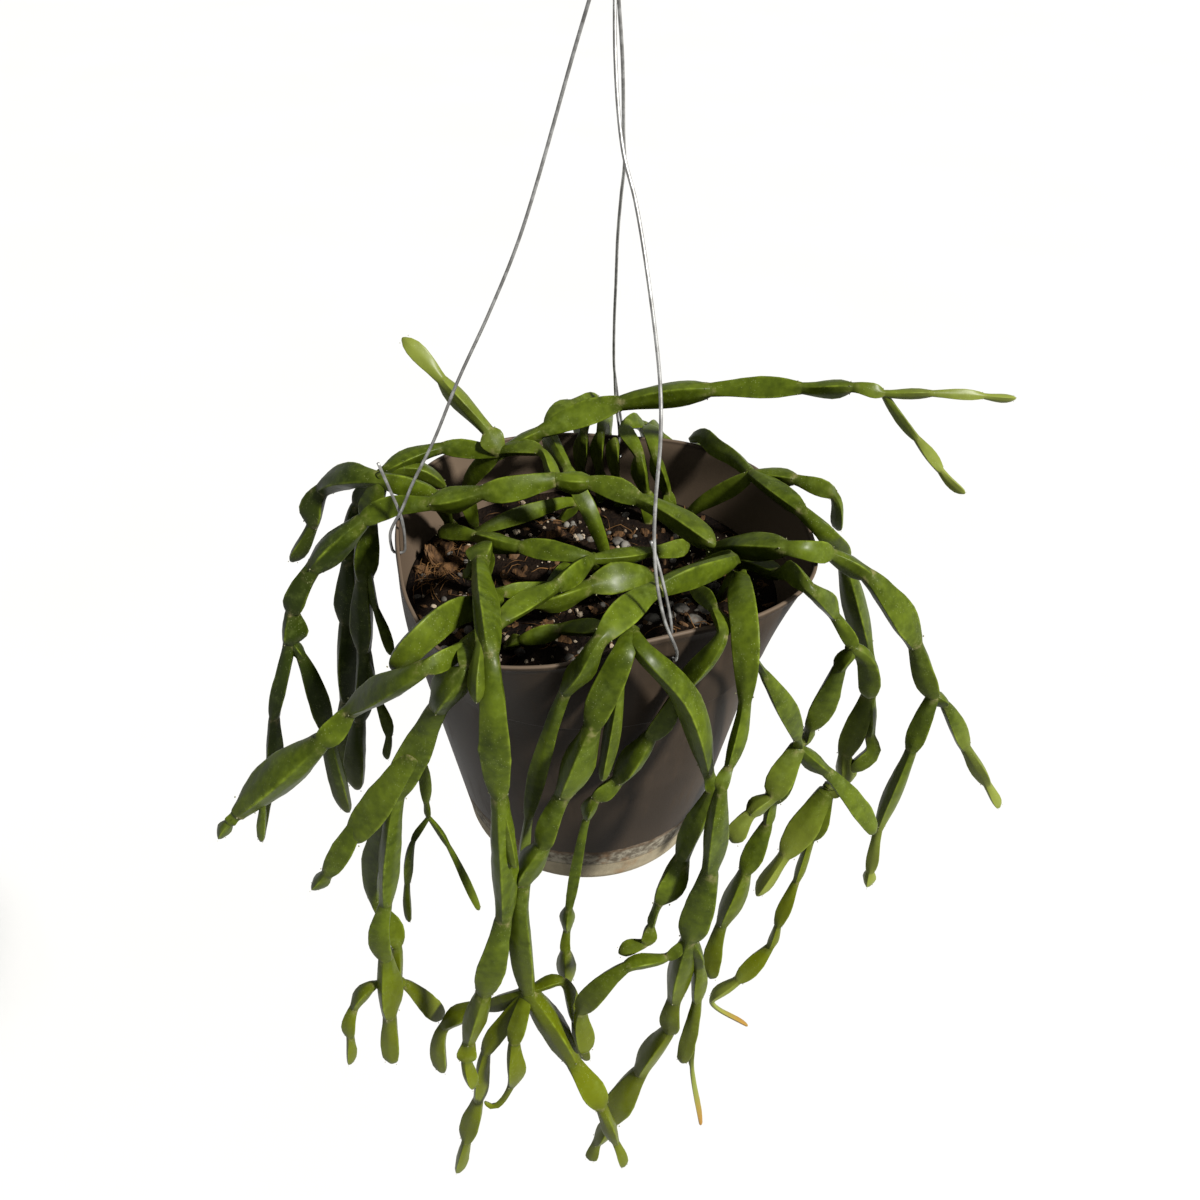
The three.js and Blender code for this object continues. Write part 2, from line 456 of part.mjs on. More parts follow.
const STEMS = {
  // Leans on the left of the rim, and throws the long arm across to the right.
  stem_crown: [
    [[-77, 66, -42, 10], [-80, 64, -14, 11], [-56, 50, 22, 10], [-30, 37, 30, 8], [-21, 12, 26, 0]],
    [
      [-21, 12, 26, 14], [-64, 3, 21, 15], [-94, 2, 14, 12], [-115, 5, 10.5], [-135, 4, 0, 17],
      [-167, -8, -28, 13], [-183, -10, -59, 15], [-188, -12, -82, 9], [-206, -16, -142, 12],
      [-219, -18, -209, 7], [-234, -18, -263, 0],
    ],
    [[-187, -12, -80, 8], [-182, -12, -93, 13], [-174, -14, -155, 12], [-168, -16, -233, 0]],
    [[-21, 12, 26, 13], [-1, 12, 24, 13], [29, 0, 20, 14], [71, -35, 12, 0]],
    [
      [-56, 50, 22, 11], [-93, 54, 22, 11], [-126, 39, 14, 11], [-149, 52, -19, 15],
      [-158, 46, -58, 14], [-165, 42, -107, 16], [-172, 38, -175, 15], [-180, 34, -247, 0],
    ],
    [
      [-56, 50, 22, 10], [-31, 55, 34, 15], [18, 64, 50, 15], [72, 60, 62, 12], [125, 48, 70, 11],
      [152, 38, 76, 8], [170, 35, 74, 6], [199, 36, 74, 6], [230, 38, 72, 5], [250, 40, 70, 0],
    ],
    [[170, 35, 74, 6], [198, 44, 40, 7], [216, 41, 20, 6], [233, 37, 6, 0]],
    [[-56, 50, 22, 14], [-64, 56, 34, 11], [-92, 68, 62, 10], [-115, 76, 85, 0]],
    [[-126, 39, 14, 12], [-109, 44, 11], [-91, 47, -2, 0]],
  ],
  stem_left: [
    [
      [-87, 47, -42, 10], [-90, 40, -22, 10], [-95, 22, 8, 12], [-126, 21, 18, 16],
      [-169, 48, -6, 15], [-179, 46, -32, 10], [-196, 44, -59, 0],
    ],
    [
      [-126, 21, 18, 14], [-137, 26, -15, 16], [-144, 20, -55, 15], [-149, 16, -110, 14],
      [-158, 12, -170, 15], [-166, 8, -235, 0],
    ],
    [[-141, 22, -41, 6], [-137, 14, -74, 7], [-129, 6, -106, 0]],
    [[-149, 16, -110, 5], [-142, 8, -147, 8], [-137, 4, -178, 6], [-140, 2, -198, 0]],
  ],
  stem_front_left: [
    [[5, 15, -42, 9], [1, -21, -8, 12], [-41, -10, -8, 12], [-68, 6, -12, 10], [-95, 30, -24, 0]],
    [[1, -21, -8, 10], [36, -4, -14, 10], [62, 16, -22, 0]],
    [[1, -21, -8, 12], [-19, -52, -6, 12], [-47, -87, -4, 11], [-62, -126, 10, 0]],
    [
      [-62, -126, 10, 10], [-79, -142, 10, 15], [-124, -124, -36, 12], [-140, -128, -54, 21],
      [-191, -135, -103, 6], [-197, -136, -110, 8], [-205, -136, -123, 0],
    ],
    [[-177, -134, -97, 5], [-183, -134, -128, 0]],
    [
      [-62, -126, 10, 8], [-59, -142, 10, 17], [-75, -136, -21, 16], [-85, -130, -47],
      [-104, -128, -95, 12], [-111, -129, -133], [-119, -130, -187, 13], [-123, -131, -212],
      [-124, -131, -239, 16], [-127, -132, -301, 12], [-131, -132, -358, 0],
    ],
    [[-92, -132, -59, 16], [-131, -136, -124, 0]],
    [[-124, -134, -106, 12], [-148, -138, -150, 9], [-158, -138, -164, 0]],
    [
      [-125, -131, -268, 6], [-133, -132, -267, 10], [-148, -136, -286, 9],
      [-154, -138, -316, 7], [-158, -138, -350, 0],
    ],
    [[-125, -131, -268, 6], [-117, -124, -277, 12], [-98, -108, -341, 0]],
    [
      [-104, -128, -95, 11], [-127, -114, -168], [-130, -112, -210, 11], [-123, -114, -229],
      [-120, -116, -248, 11], [-123, -118, -287, 0],
    ],
    [[-91, -127, -56, 5], [-92, -112, -81, 7], [-93, -106, -124, 4], [-93, -104, -139, 0]],
    [[-93, -104, -139, 4], [-104, -104, -161, 6], [-111, -104, -201, 5], [-113, -104, -239, 0]],
    [[-93, -104, -139, 4], [-83, -103, -166, 5], [-67, -104, -226, 0]],
  ],
  stem_front: [
    [[-46, -62, -42, 8], [-37, -75, -26, 10], [-15, -75, -18, 10], [8, -83, -11, 10], [22, -114, 10, 0]],
    [
      [22, -114, 10, 14], [19, -127, 9], [3, -137, -32, 16], [-12, -140, -80, 12],
      [-23, -142, -118, 15], [-35, -142, -150, 14], [-34, -144, -254, 0],
    ],
    [[22, -114, 10, 5], [20, -124, 7], [17, -126, -11, 9], [9, -135, -74, 0]],
    [
      [22, -114, 10, 14], [28, -126, 9], [51, -129, -19], [67, -126, -76, 8],
      [70, -126, -90, 12], [57, -128, -143, 16], [45, -134, -177, 5], [41, -136, -197, 9],
      [38, -138, -211, 9], [22, -140, -219, 0],
    ],
    [
      [-34, -144, -254, 11], [-63, -146, -320, 10], [-71, -146, -380, 13],
      [-82, -146, -436, 9], [-91, -146, -483, 0],
    ],
    [
      [-34, -144, -254, 17], [-5, -152, -320, 15], [14, -160, -361, 10],
      [25, -162, -405, 7], [32, -162, -439, 0],
    ],
    [
      [-34, -144, -254, 11], [-43, -156, -292, 12], [-46, -158, -339, 4],
      [-59, -158, -366], [-65, -158, -361, 0],
    ],
    [[-34, -144, -254, 8], [-13, -140, -249, 9], [-4, -138, -294, 9], [4, -136, -345, 0]],
    [[-34, -144, -254, 10], [-65, -130, -293, 13], [-92, -128, -319, 11], [-98, -128, -376, 0]],
  ],
  stem_low_middle: [
    [[40, -2, -42, 10], [36, -11, -28, 17], [0, -30, -22, 15], [-30, -46, -22, 9], [-44, -42, -26, 0]],
  ],
  stem_low_left: [
    [
      [-11, 10, -42, 8], [-12, 7, -34], [-24, -20, -28, 9], [-51, -39, -20, 10], [-56, -70, -8, 15],
      [-72, -105, 14], [-87, -123, 10], [-99, -123, -8, 0],
    ],
  ],
  stem_low_back: [
    [[-19, 73, -42, 8], [-11, 70, -26, 10], [-70, 31, -24, 6], [-78, 34, -33, 0]],
  ],
  stem_over_back: [
    [
      [11, 31, -42, 10], [1, 32, -14], [-15, 53, 10, 11], [-27, 86, 22, 14],
      [-12, 108, 26, 13], [4, 130, 17, 10], [15, 146, 6, 0],
    ],
  ],
  stem_front_long: [
    [
      [-68, -7, -42, 10], [-60, -28, 2, 14], [-60, -53, 10, 13], [-47, -142, 18, 15],
      [-45, -150, -70, 14], [-46, -152, -170, 16], [-60, -154, -240, 14],
      [-72, -156, -292, 12], [-74, -160, -306, 9], [-70, -164, -333, 0],
    ],
    [[-60, -28, 2, 11], [-67, -44, -2, 10], [-71, -46, -5, 0]],
    [[-45, -150, -70, 6], [-38, -156, -121, 0]],
    [[-60, -53, 10, 8], [-52, -136, 20, 9], [-53, -151, 11], [-53, -156, 0, 0]],
  ],
  stem_loop: [
    [
      [63, 17, -42, 10], [79, -49, 12, 13], [35, -91, 22, 14], [6, -131, 20, 12],
      [-2, -136, 6], [-11, -130, -15, 10], [-32, -124, -116, 6], [-37, -122, -155, 0],
    ],
  ],
  stem_thin: [
    [
      [69, 7, -42, 7], [61, -35, -17, 9], [67, -89, 7, 8], [69, -109, 7, 11],
      [50, -113, -27, 11], [35, -116, -59, 14], [18, -116, -93, 10], [6, -118, -106, 9],
      [1, -118, -122, 6], [-9, -120, -202, 9], [-10, -120, -223, 6], [-11, -119, -247, 12],
      [-10, -118, -285, 0],
    ],
  ],
  stem_front_right: [
    [
      [81, -11, -42, 9], [84, -46, -2, 14], [81, -97, 13], [82, -115, 2], [82, -124, -25, 9],
      [76, -136, -61, 7], [72, -144, -70, 13], [71, -144, -135, 17], [64, -143, -199, 15],
      [59, -142, -264, 13], [58, -140, -301, 14], [41, -140, -352, 19], [23, -138, -420, 13],
      [13, -138, -452, 9], [8, -138, -479, 0],
    ],
    [[64, -143, -199, 7], [51, -146, -214, 9], [26, -154, -213, 13], [0, -152, -261, 12], [3, -150, -312, 0]],
    [[64, -143, -199, 10], [72, -140, -230, 10], [74, -138, -270, 10], [69, -138, -343, 0]],
    [[74, -138, -270, 5], [76, -138, -348, 4], [88, -138, -426, 0]],
    [[83, -115, 2, 3], [95, -100, -26, 12], [124, -80, -92, 6], [128, -71, -109, 0]],
    [
      [128, -71, -109, 15], [118, -74, -153, 7], [116, -76, -171, 13],
      [105, -82, -211, 14], [93, -90, -256, 12], [89, -96, -308, 0],
    ],
    [[128, -71, -109, 15], [118, -80, -127], [114, -84, -139, 11], [101, -90, -148, 12], [91, -96, -167, 0]],
    [[128, -71, -109, 11], [148, -70, -130, 12], [190, -64, -193, 0]],
  ],
  stem_right_short: [
    [
      [94, -2, -42, 7], [92, -1, -25, 10], [109, -37, -5, 11], [113, -56, 9], [118, -74, 12, 11],
      [138, -63, -15, 8], [151, -65, -36, 9], [146, -64, -52, 14], [137, -58, -105, 8],
      [136, -55, -122, 0],
    ],
    [[151, -65, -36, 12], [159, -64, -42], [166, -62, -58], [168, -60, -78, 0]],
  ],
  stem_right: [
    [
      [80, 46, -42, 10], [78, 0, -13, 16], [112, -36, 12, 12], [124, -37, 12],
      [139, -28, 3, 11], [162, -28, -11, 17], [200, -29, -62, 13], [219, -30, -102, 0],
    ],
    [
      [219, -30, -102, 12], [213, -32, -148, 11], [203, -36, -221, 8],
      [204, -38, -263, 9], [205, -38, -279, 0],
    ],
    [
      [219, -30, -102, 9], [228, -28, -111, 11], [251, -26, -151, 10],
      [274, -24, -187, 7], [288, -24, -210, 0],
    ],
  ],
  stem_right_back: [
    [[66, 61, -42, 11], [66, 57, -24, 11], [100, 42, 14, 0]],
    [[100, 42, 14, 11], [125, 30, 18, 10], [147, 19, 14, 8], [156, 27, -16, 0]],
    [
      [100, 42, 14, 12], [124, -5, 17, 12], [136, -14, 10], [158, 8, -27, 15], [182, 4, -93, 12],
      [189, 2, -128, 11], [195, 0, -165, 11], [199, -2, -179], [184, -6, -195, 0],
    ],
    [
      [100, 42, 14, 11], [92, 69, 11], [84, 84, 9], [77, 99, 9], [70, 114, -1, 10],
      [80, 138, -20, 8], [82, 150, -62, 7], [88, 150, -104, 7], [84, 148, -146, 0],
    ],
    [[189, 2, -128, 15], [180, -2, -184, 14], [181, -6, -207, 10], [171, -8, -214, 0]],
    [[171, -8, -214, 20], [146, -20, -268, 11], [127, -34, -297, 0]],
    [
      [171, -8, -214, 17], [164, -14, -256, 7], [158, -20, -297, 10], [149, -26, -342, 7],
      [145, -28, -366, 13], [123, -34, -401, 10], [104, -38, -423, 4], [138, -30, -471, 0],
    ],
  ],
  stem_back_1: [
    [
      [-4, 99, -42, 10], [-7, 102, -20, 10], [-5, 85, 18, 9], [-5, 128, 8, 11], [-8, 151, -22, 7],
      [-14, 157, -70, 7], [-10, 158, -116, 7], [-16, 158, -158, 6], [-12, 156, -190, 0],
    ],
  ],
  stem_back_2: [
    [
      [7, 100, -42, 9], [6, 96, -16, 9], [6, 82, 20, 8], [10, 127, 8, 10],
      [12, 150, -16, 6], [17, 158, -58, 7], [14, 160, -98, 0],
    ],
  ],
  stem_back_3: [
    [[19, 93, -42, 9], [17, 89, -16, 9], [15, 79, 18, 0]],
  ],
  stem_back_4: [
    [
      [39, 75, -42, 11], [36, 74, -18, 11], [31, 71, 10, 10], [22, 98, 15, 11], [33, 124, 4, 11],
      [40, 148, -22, 8], [44, 156, -68, 7], [40, 158, -112, 8], [46, 158, -150, 6], [42, 156, -182, 0],
    ],
  ],
  stem_back_5: [
    [
      [55, 75, -42, 9], [51, 79, -22, 10], [41, 68, 12, 10], [39, 108, 10, 9],
      [48, 132, -8, 9], [66, 148, -34, 0],
    ],
  ],
};

const group = new THREE.Group();
group.add(named('hook', hookBody(), ZINC_WIRE));

const hanging = new THREE.Group();
hanging.position.set(RIM_OFFSET_X, 0, -RIM_BELOW_HOOK);
hanging.add(named('pot', potBody(), BROWN_PLASTIC));
hanging.add(named('soil', soilBody(Object.values(STEMS).map(rootOf)), WET_SOIL));
for (const [name, wire] of Object.entries(WIRES)) {
  hanging.add(named(name, wireBody(wire), ZINC_WIRE));
}
for (const [name, branches] of Object.entries(STEMS)) {
  hanging.add(named(name, stemBody(branches), GREEN_SKIN));
}
group.add(hanging);

export default group;
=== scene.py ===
# %% [markdown]
# # A chain cactus in a hanging pot
# The object is a brown plastic pot on three thin wires, full of dark potting mix, out of which grow
# some twenty jointed stems. They arch over the rim and hang. Each stem is a chain of links with three
# keels, and the keels of one link stand between the keels of the next.
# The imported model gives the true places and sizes. This lesson puts a finer surface over each of its
# pieces, so every shape below is worked out in the same millimetres and moved to the model's frame.

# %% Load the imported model
import math

import bpy
import numpy as np
from mathutils import Matrix


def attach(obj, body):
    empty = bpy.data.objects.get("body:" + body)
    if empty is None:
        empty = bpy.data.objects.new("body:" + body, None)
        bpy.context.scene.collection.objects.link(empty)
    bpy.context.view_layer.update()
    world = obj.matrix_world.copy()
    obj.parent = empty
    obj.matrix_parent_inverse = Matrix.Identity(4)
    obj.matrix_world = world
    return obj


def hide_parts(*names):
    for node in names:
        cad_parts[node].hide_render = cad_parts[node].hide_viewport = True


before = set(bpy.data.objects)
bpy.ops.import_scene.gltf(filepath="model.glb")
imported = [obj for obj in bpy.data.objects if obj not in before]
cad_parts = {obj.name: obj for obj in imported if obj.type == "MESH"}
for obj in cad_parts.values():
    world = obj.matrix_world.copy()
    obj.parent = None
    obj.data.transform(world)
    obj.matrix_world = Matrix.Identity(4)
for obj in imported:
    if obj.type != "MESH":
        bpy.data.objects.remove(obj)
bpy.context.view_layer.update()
print("packed nodes:", len(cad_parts))

# %% [markdown]
# ## Places
# The stems, the pot and the soil are all measured in millimetres from the centre of the pot's rim,
# which hangs 365 mm below the bend of the hook. One function turns such points into the frame's metres.

# %% The rim's centre in the frame
MM = 0.001
RIM_CENTRE = np.array([-6.0, 0.0, -365.0])


def to_frame(points):
    """Millimetres from the rim's centre become metres from the hook: add the centre, times 0.001."""
    return (np.asarray(points, float) + RIM_CENTRE) * MM


def put(name, data):
    """A new object with this data, linked into the scene."""
    made = bpy.data.objects.new(name, data)
    bpy.context.scene.collection.objects.link(made)
    return made


def put_mesh(name, points, faces, finishes=()):
    """A mesh object from points in metres, lists of corners, and its materials."""
    mesh = bpy.data.meshes.new(name)
    mesh.from_pydata(points.tolist(), [], faces)
    for finish in finishes:
        mesh.materials.append(finish)
    return put(name, mesh)


def facing(*directions):
    """The matrix whose columns are three square directions."""
    return Matrix(np.column_stack(directions).tolist()).to_4x4()


def even_angles(count):
    """A full turn in equal steps: 0, 1, 2 and so on over the count, times 2 pi."""
    return np.arange(count) / count * 2 * np.pi


# %% [markdown]
# ## Camera
# The photograph looks down on the pot from the front, about a third of a right angle above level.
# The camera is set by what was measured: its distance from the rim's centre, its height angle, a
# slight roll, and the picture point where the rim's centre falls. An aim by angles keeps the lens
# unshifted, so the same camera can turn round the object later.

# %% Camera at the photograph's angle
PICTURE = 1200
FOCAL_PIXELS = 1100.0
CAMERA_DISTANCE = 656.9
CAMERA_ELEVATION = math.radians(33.07)
CAMERA_ROLL = math.radians(0.97)
RIM_IN_PICTURE = (588.4, 528.1)


def unit(vector):
    """A vector divided by its length."""
    return vector / np.linalg.norm(vector)


def turn_pair(first, second, angle):
    """Turns two square directions towards each other: first cos + second sin, second cos - first sin."""
    cosine = math.cos(angle)
    sine = math.sin(angle)
    return first * cosine + second * sine, second * cosine - first * sine


def make_camera():
    """Looks at the rim's centre, then yaws, pitches and rolls until it falls on its picture point."""
    level = -CAMERA_DISTANCE * math.cos(CAMERA_ELEVATION)
    place = np.array([0.0, level, CAMERA_DISTANCE * math.sin(CAMERA_ELEVATION)])
    ahead = unit(-place)
    right = np.array([1.0, 0.0, 0.0])
    above = np.cross(right, ahead)
    yaw = math.atan((RIM_IN_PICTURE[0] - PICTURE / 2) / FOCAL_PIXELS)
    pitch = math.atan((RIM_IN_PICTURE[1] - PICTURE / 2) / FOCAL_PIXELS)
    right, ahead = turn_pair(right, ahead, yaw)
    ahead, above = turn_pair(ahead, above, pitch)
    right, above = turn_pair(right, above, CAMERA_ROLL)
    data = bpy.data.cameras.new("camera")
    data.sensor_width = 36.0
    data.lens = data.sensor_width * FOCAL_PIXELS / PICTURE
    camera = put("camera", data)
    camera.matrix_world = Matrix.Translation(to_frame(place)) @ facing(right, above, -ahead)
    bpy.context.scene.camera = camera
    return camera


print("camera at", [round(value, 3) for value in make_camera().location])

# %% [markdown]
# ## From arrays to a mesh
# Nearly every piece here is a tube: rings of points along a path, joined by quads, with each end
# closed by a fan of triangles to a pole. Working out the rings as one array keeps the code short
# and quick, and a piece made of many tubes is those arrays laid end to end.

# %% Tubes and pieces


def tube(rings, first_pole, last_pole):
    """Points, quads and triangles of a closed tube over rings of shape (rows, columns, 3).

    A quad joins neighbours in a ring with the same two in the next ring. The columns run
    anticlockwise seen against the path, so the faces point outwards.
    """
    rows, columns, _ = rings.shape
    low = np.arange((rows - 1) * columns).reshape(rows - 1, columns)
    beside = np.roll(low, -1, axis=1)
    quads = np.stack([low, beside, beside + columns, low + columns], axis=-1).reshape(-1, 4)
    ring = np.arange(columns)
    follows = np.roll(ring, -1)
    top = (rows - 1) * columns
    first = np.full(columns, rows * columns)
    start_fan = np.stack([first, follows, ring], axis=-1)
    end_fan = np.stack([first + 1, top + ring, top + follows], axis=-1)
    points = np.vstack([rings.reshape(-1, 3), first_pole, last_pole])
    return points, quads, np.vstack([start_fan, end_fan])


def stack_tubes(parts):
    """Lays (points, quads, triangles) end to end, each part's corners moved up by the points before it."""
    offsets = np.cumsum([0] + [len(part[0]) for part in parts[:-1]])
    points = np.vstack([part[0] for part in parts])
    quads = np.vstack([part[1] + offset for part, offset in zip(parts, offsets)])
    triangles = np.vstack([part[2] + offset for part, offset in zip(parts, offsets)])
    return points, quads, triangles


def make_piece(name, shape, nodes=(), finishes=(), smooth=True, fields=None, second=None):
    """A mesh object from points in millimetres. fields are numbers per point, second marks faces
    that take the second finish. It rides on the one body and stands for the given nodes."""
    points, quads, triangles = shape
    piece = put_mesh(name, to_frame(points), quads.tolist() + triangles.tolist(), finishes)
    mesh = piece.data
    mesh.polygons.foreach_set("use_smooth", np.full(len(mesh.polygons), smooth))
    for field, values in (fields or {}).items():
        mesh.attributes.new(field, "FLOAT", "POINT").data.foreach_set("value", values.astype(np.float32))
    if second is not None:
        mesh.polygons.foreach_set("material_index", second.astype(np.int32))
    mesh.update()
    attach(piece, "root")
    if nodes:
        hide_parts(*nodes)
    return piece


# %% [markdown]
# ## Seeded unevenness
# Nothing that grew is quite even. A sum of sine waves in random directions is the simplest smooth
# unevenness that works on whole arrays, and a seed keeps it the same each time.

# %% Smooth noise from a few sine waves


def waves(points, scale, seed, count=9):
    """Sines whose directions and starts are drawn once: their sum over the root of their count."""
    draw = np.random.default_rng(seed)
    directions = draw.normal(size=(count, 3))
    starts = draw.uniform(0, 2 * np.pi, count)
    phase = points @ directions.T * (2 / scale) + starts
    return np.sin(phase).sum(axis=-1) / math.sqrt(count)


# %% [markdown]
# ## Paths
# A list of points says where each stem and wire runs. A centripetal Catmull-Rom curve
# goes through all of them without the loops that an even one makes at uneven gaps. The section is
# carried along the curve without twisting, by taking from it only what points along the path.

# %% A smooth path and the directions across it
SAMPLES = 24


def smooth_path(points):
    """Samples a centripetal Catmull-Rom curve: knots spaced by the root of the distance between
    points, end tangents from the reflected end points, and a cubic in each span."""
    points = np.asarray(points, float)
    knots = np.vstack([2 * points[0] - points[1], points, 2 * points[-1] - points[-2]])
    gaps = np.linalg.norm(np.diff(knots, axis=0), axis=1)[:, None] ** 0.5
    before, here, after = gaps[:-2], gaps[1:-1], gaps[2:]
    a, b, c, d = knots[:-3], knots[1:-2], knots[2:-1], knots[3:]
    leave = ((b - a) / before - (c - a) / (before + here) + (c - b) / here) * here
    arrive = ((c - b) / here - (d - b) / (here + after) + (d - c) / after) * here
    t = (np.arange(SAMPLES) / SAMPLES)[None, :, None]
    b, c, leave, arrive = (value[:, None, :] for value in (b, c, leave, arrive))
    square = 3 * c - 3 * b - 2 * leave - arrive
    cube = 2 * b - 2 * c + leave + arrive
    curve = b + leave * t + square * t**2 + cube * t**3
    return np.vstack([curve.reshape(-1, 3), points[-1]])


class Path:
    """A curve by its length: centre, heading, and the two directions across it."""

    def __init__(self, points):
        self.centres = smooth_path(points)
        steps = np.linalg.norm(np.diff(self.centres, axis=0), axis=1)
        self.lengths = np.concatenate([[0.0], np.cumsum(steps)])
        slopes = np.gradient(self.centres, axis=0)
        self.headings = slopes / np.linalg.norm(slopes, axis=1, keepdims=True)
        self.across = self.carried()

    def carried(self):
        """Each heading takes away the part of the direction that lies along it."""
        across = np.array([0.0, 1.0, 0.0])
        if abs(across @ self.headings[0]) > 0.9:
            across = np.array([1.0, 0.0, 0.0])
        kept = np.empty_like(self.headings)
        for row, heading in enumerate(self.headings):
            across = unit(across - (across @ heading) * heading)
            kept[row] = across
        return kept

    def at(self, lengths):
        """Centre, heading, across and aside at any lengths, straight between the samples."""
        centre, heading, across = (
            np.stack([np.interp(lengths, self.lengths, axis) for axis in rows.T], axis=-1)
            for rows in (self.centres, self.headings, self.across)
        )
        heading /= np.linalg.norm(heading, axis=1, keepdims=True)
        across -= (across * heading).sum(axis=1, keepdims=True) * heading
        across /= np.linalg.norm(across, axis=1, keepdims=True)
        return centre, heading, across, np.cross(heading, across)


def rings_along(path, lengths, radii, angles):
    """Rings of points: centre + radius (across cos angle + aside sin angle), radii (rows, columns)."""
    centre, _, across, aside = path.at(lengths)
    cosine = np.cos(angles)[None, :, None]
    sine = np.sin(angles)[None, :, None]
    spoke = across[:, None, :] * cosine + aside[:, None, :] * sine
    return centre[:, None, :] + spoke * radii[:, :, None]


def rod(points, radius, sides, spacing):
    """A round rod of one radius through the points, with a ring every spacing millimetres."""
    path = Path(points)
    total = path.lengths[-1]
    lengths = np.linspace(0, total, max(8, int(total / spacing)))
    angles = even_angles(sides)
    radii = np.full((len(lengths), sides), radius)
    return tube(rings_along(path, lengths, radii, angles), path.centres[0], path.centres[-1])


# %% [markdown]
# ## Materials as expressions
# A finish is easier to read as a sum than as a picture of nodes. This class wraps one socket, so
# that `1 - mask` or `mask * 0.3` adds the Math node that it needs. Every other node comes from its
# one `node` method, and a colour is blended with `mix`, because a Math node would turn it grey.
# A look is then a short function that gives the sockets that vary, and `make_finish` does the rest.

# %% Sockets that can be added and multiplied


class Flow:
    """A node tree and one of its output sockets."""

    def __init__(self, tree, socket=None):
        self.tree = tree
        self.socket = socket

    def node(self, kind, settings=None, sockets=None, output=0):
        """Adds a node: settings first, then each socket's value or link. Returns one output."""
        made = self.tree.nodes.new("ShaderNode" + kind)
        for key, value in (settings or {}).items():
            setattr(made, key, value)
        for key, value in (sockets or {}).items():
            if isinstance(value, Flow):
                self.tree.links.new(value.socket, made.inputs[key])
            else:
                made.inputs[key].default_value = value
        return Flow(self.tree, None if output is None else made.outputs[output])

    def math(self, operation, *values):
        """One Math node on numbers or sockets."""
        return self.node("Math", {"operation": operation}, dict(enumerate(values)))

    def __add__(self, other):
        return self.math("ADD", self, other)

    __radd__ = __add__

    def __sub__(self, other):
        return self.math("SUBTRACT", self, other)

    def __rsub__(self, other):
        return self.math("SUBTRACT", other, self)

    def __mul__(self, other):
        return self.math("MULTIPLY", self, other)

    __rmul__ = __mul__

    def __pow__(self, other):
        return self.math("POWER", self, other)

    def between(self, low, high):
        """0 below low, 1 above high, smooth between. Low above high turns it round."""
        turned = low > high
        span = {"Value": self, "From Min": min(low, high), "From Max": max(low, high)}
        if turned:
            span.update({"To Min": 1.0, "To Max": 0.0})
        return self.node("MapRange", {"interpolation_type": "SMOOTHSTEP"}, span)

    def mix(self, first, second):
        """A colour between first and second, by this number."""
        first, second = (
            colour if isinstance(colour, Flow) else (*colour, 1.0) for colour in (first, second)
        )
        return self.node("Mix", {"data_type": "RGBA"}, {0: self, 6: first, 7: second}, 2)

    def noise(self, place, scale, detail=3.0, roughness=0.55):
        """Noise between 0 and 1 at a place, with scale in features per metre."""
        sockets = {"Vector": place, "Scale": scale, "Detail": detail, "Roughness": roughness}
        return self.node("TexNoise", None, sockets, "Fac")

    def cells(self, place, scale):
        """Distance to the nearest of scattered points."""
        return self.node("TexVoronoi", None, {"Vector": place, "Scale": scale}, "Distance")

    def stretched(self, place, scales, turn=(0.0, 0.0, 0.0)):
        """The place turned and scaled: a pattern grows long where its scale is small."""
        return self.node("Mapping", None, {"Vector": place, "Rotation": turn, "Scale": scales}, "Vector")

    def height(self, place):
        """How high a place lies."""
        return self.node("SeparateXYZ", None, {"Vector": place}, "Z")

    def field(self, name):
        """A number that was worked out with the shape, point by point."""
        return self.node("Attribute", {"attribute_name": name}, None, "Fac")

    def bump(self, height, distance, strength):
        """A normal from a height in units of distance metres."""
        sockets = {"Height": height, "Distance": distance, "Strength": strength}
        return self.node("Bump", None, sockets, "Normal")


def rgb(red, green, blue):
    """Turns 0 to 255 display values into linear light: ((c + 0.055) / 1.055) to the power 2.4."""
    values = np.array([red, green, blue]) / 255
    return tuple(np.where(values > 0.04045, ((values + 0.055) / 1.055) ** 2.4, values / 12.92))


def layers(colour, *coats):
    """Lays coats over a colour: each is a mask and the display colour that it brings in."""
    for mask, tint in coats:
        colour = mask.mix(colour, rgb(*tint))
    return colour


def make_finish(name, recipe, **plain):
    """A material of one principled shader. The recipe takes the start of its expressions and the
    place in object coordinates, and gives the sockets that vary. The plain ones are named with
    an underscore for each space."""
    material = bpy.data.materials.new(name)
    material.use_nodes = True
    material.node_tree.nodes.clear()
    start = Flow(material.node_tree)
    sockets = recipe(start, start.node("TexCoord", output="Object"))
    sockets.update({key.replace("_", " "): value for key, value in plain.items()})
    start.node("OutputMaterial", None, {"Surface": start.node("BsdfPrincipled", None, sockets)}, None)
    print("finish:", name, len(material.node_tree.nodes), "nodes")
    return material


# %% [markdown]
# ## Floor and light
# The pot hangs high over a plain grey floor, which the lamp lights up to white. One large soft
# lamp stands high on the viewer's right, where the photograph's light comes from, and the white
# surroundings fill the shade. The lamp is a sun of wide angle: it lights the far floor as much as
# the plant.

# %% Floor, lamp and surroundings
FLOOR_LEVEL = -3.4
FLOOR_REACH = 60.0
FLOOR_LINES = 13
FLOOR_SHADES = ((0.292,) * 3, (0.304,) * 3)
LAMP_STRENGTH = 13.0
LAMP_COLOUR = (1.0, 0.985, 0.95)
LAMP_WIDTH = math.radians(7)
LAMP_SIDE = np.array([0.80, -0.62, 0.95])
SURROUND_STRENGTH = 0.55
SURROUND_COLOUR = (0.97, 0.985, 1.0)


def floor_look(start, place):
    """Matt and even, with a very faint cloudiness."""
    cloud = start.noise(place, 0.7)
    return {"Base Color": cloud.mix(*FLOOR_SHADES), "Roughness": cloud * 0.1 + 0.8}


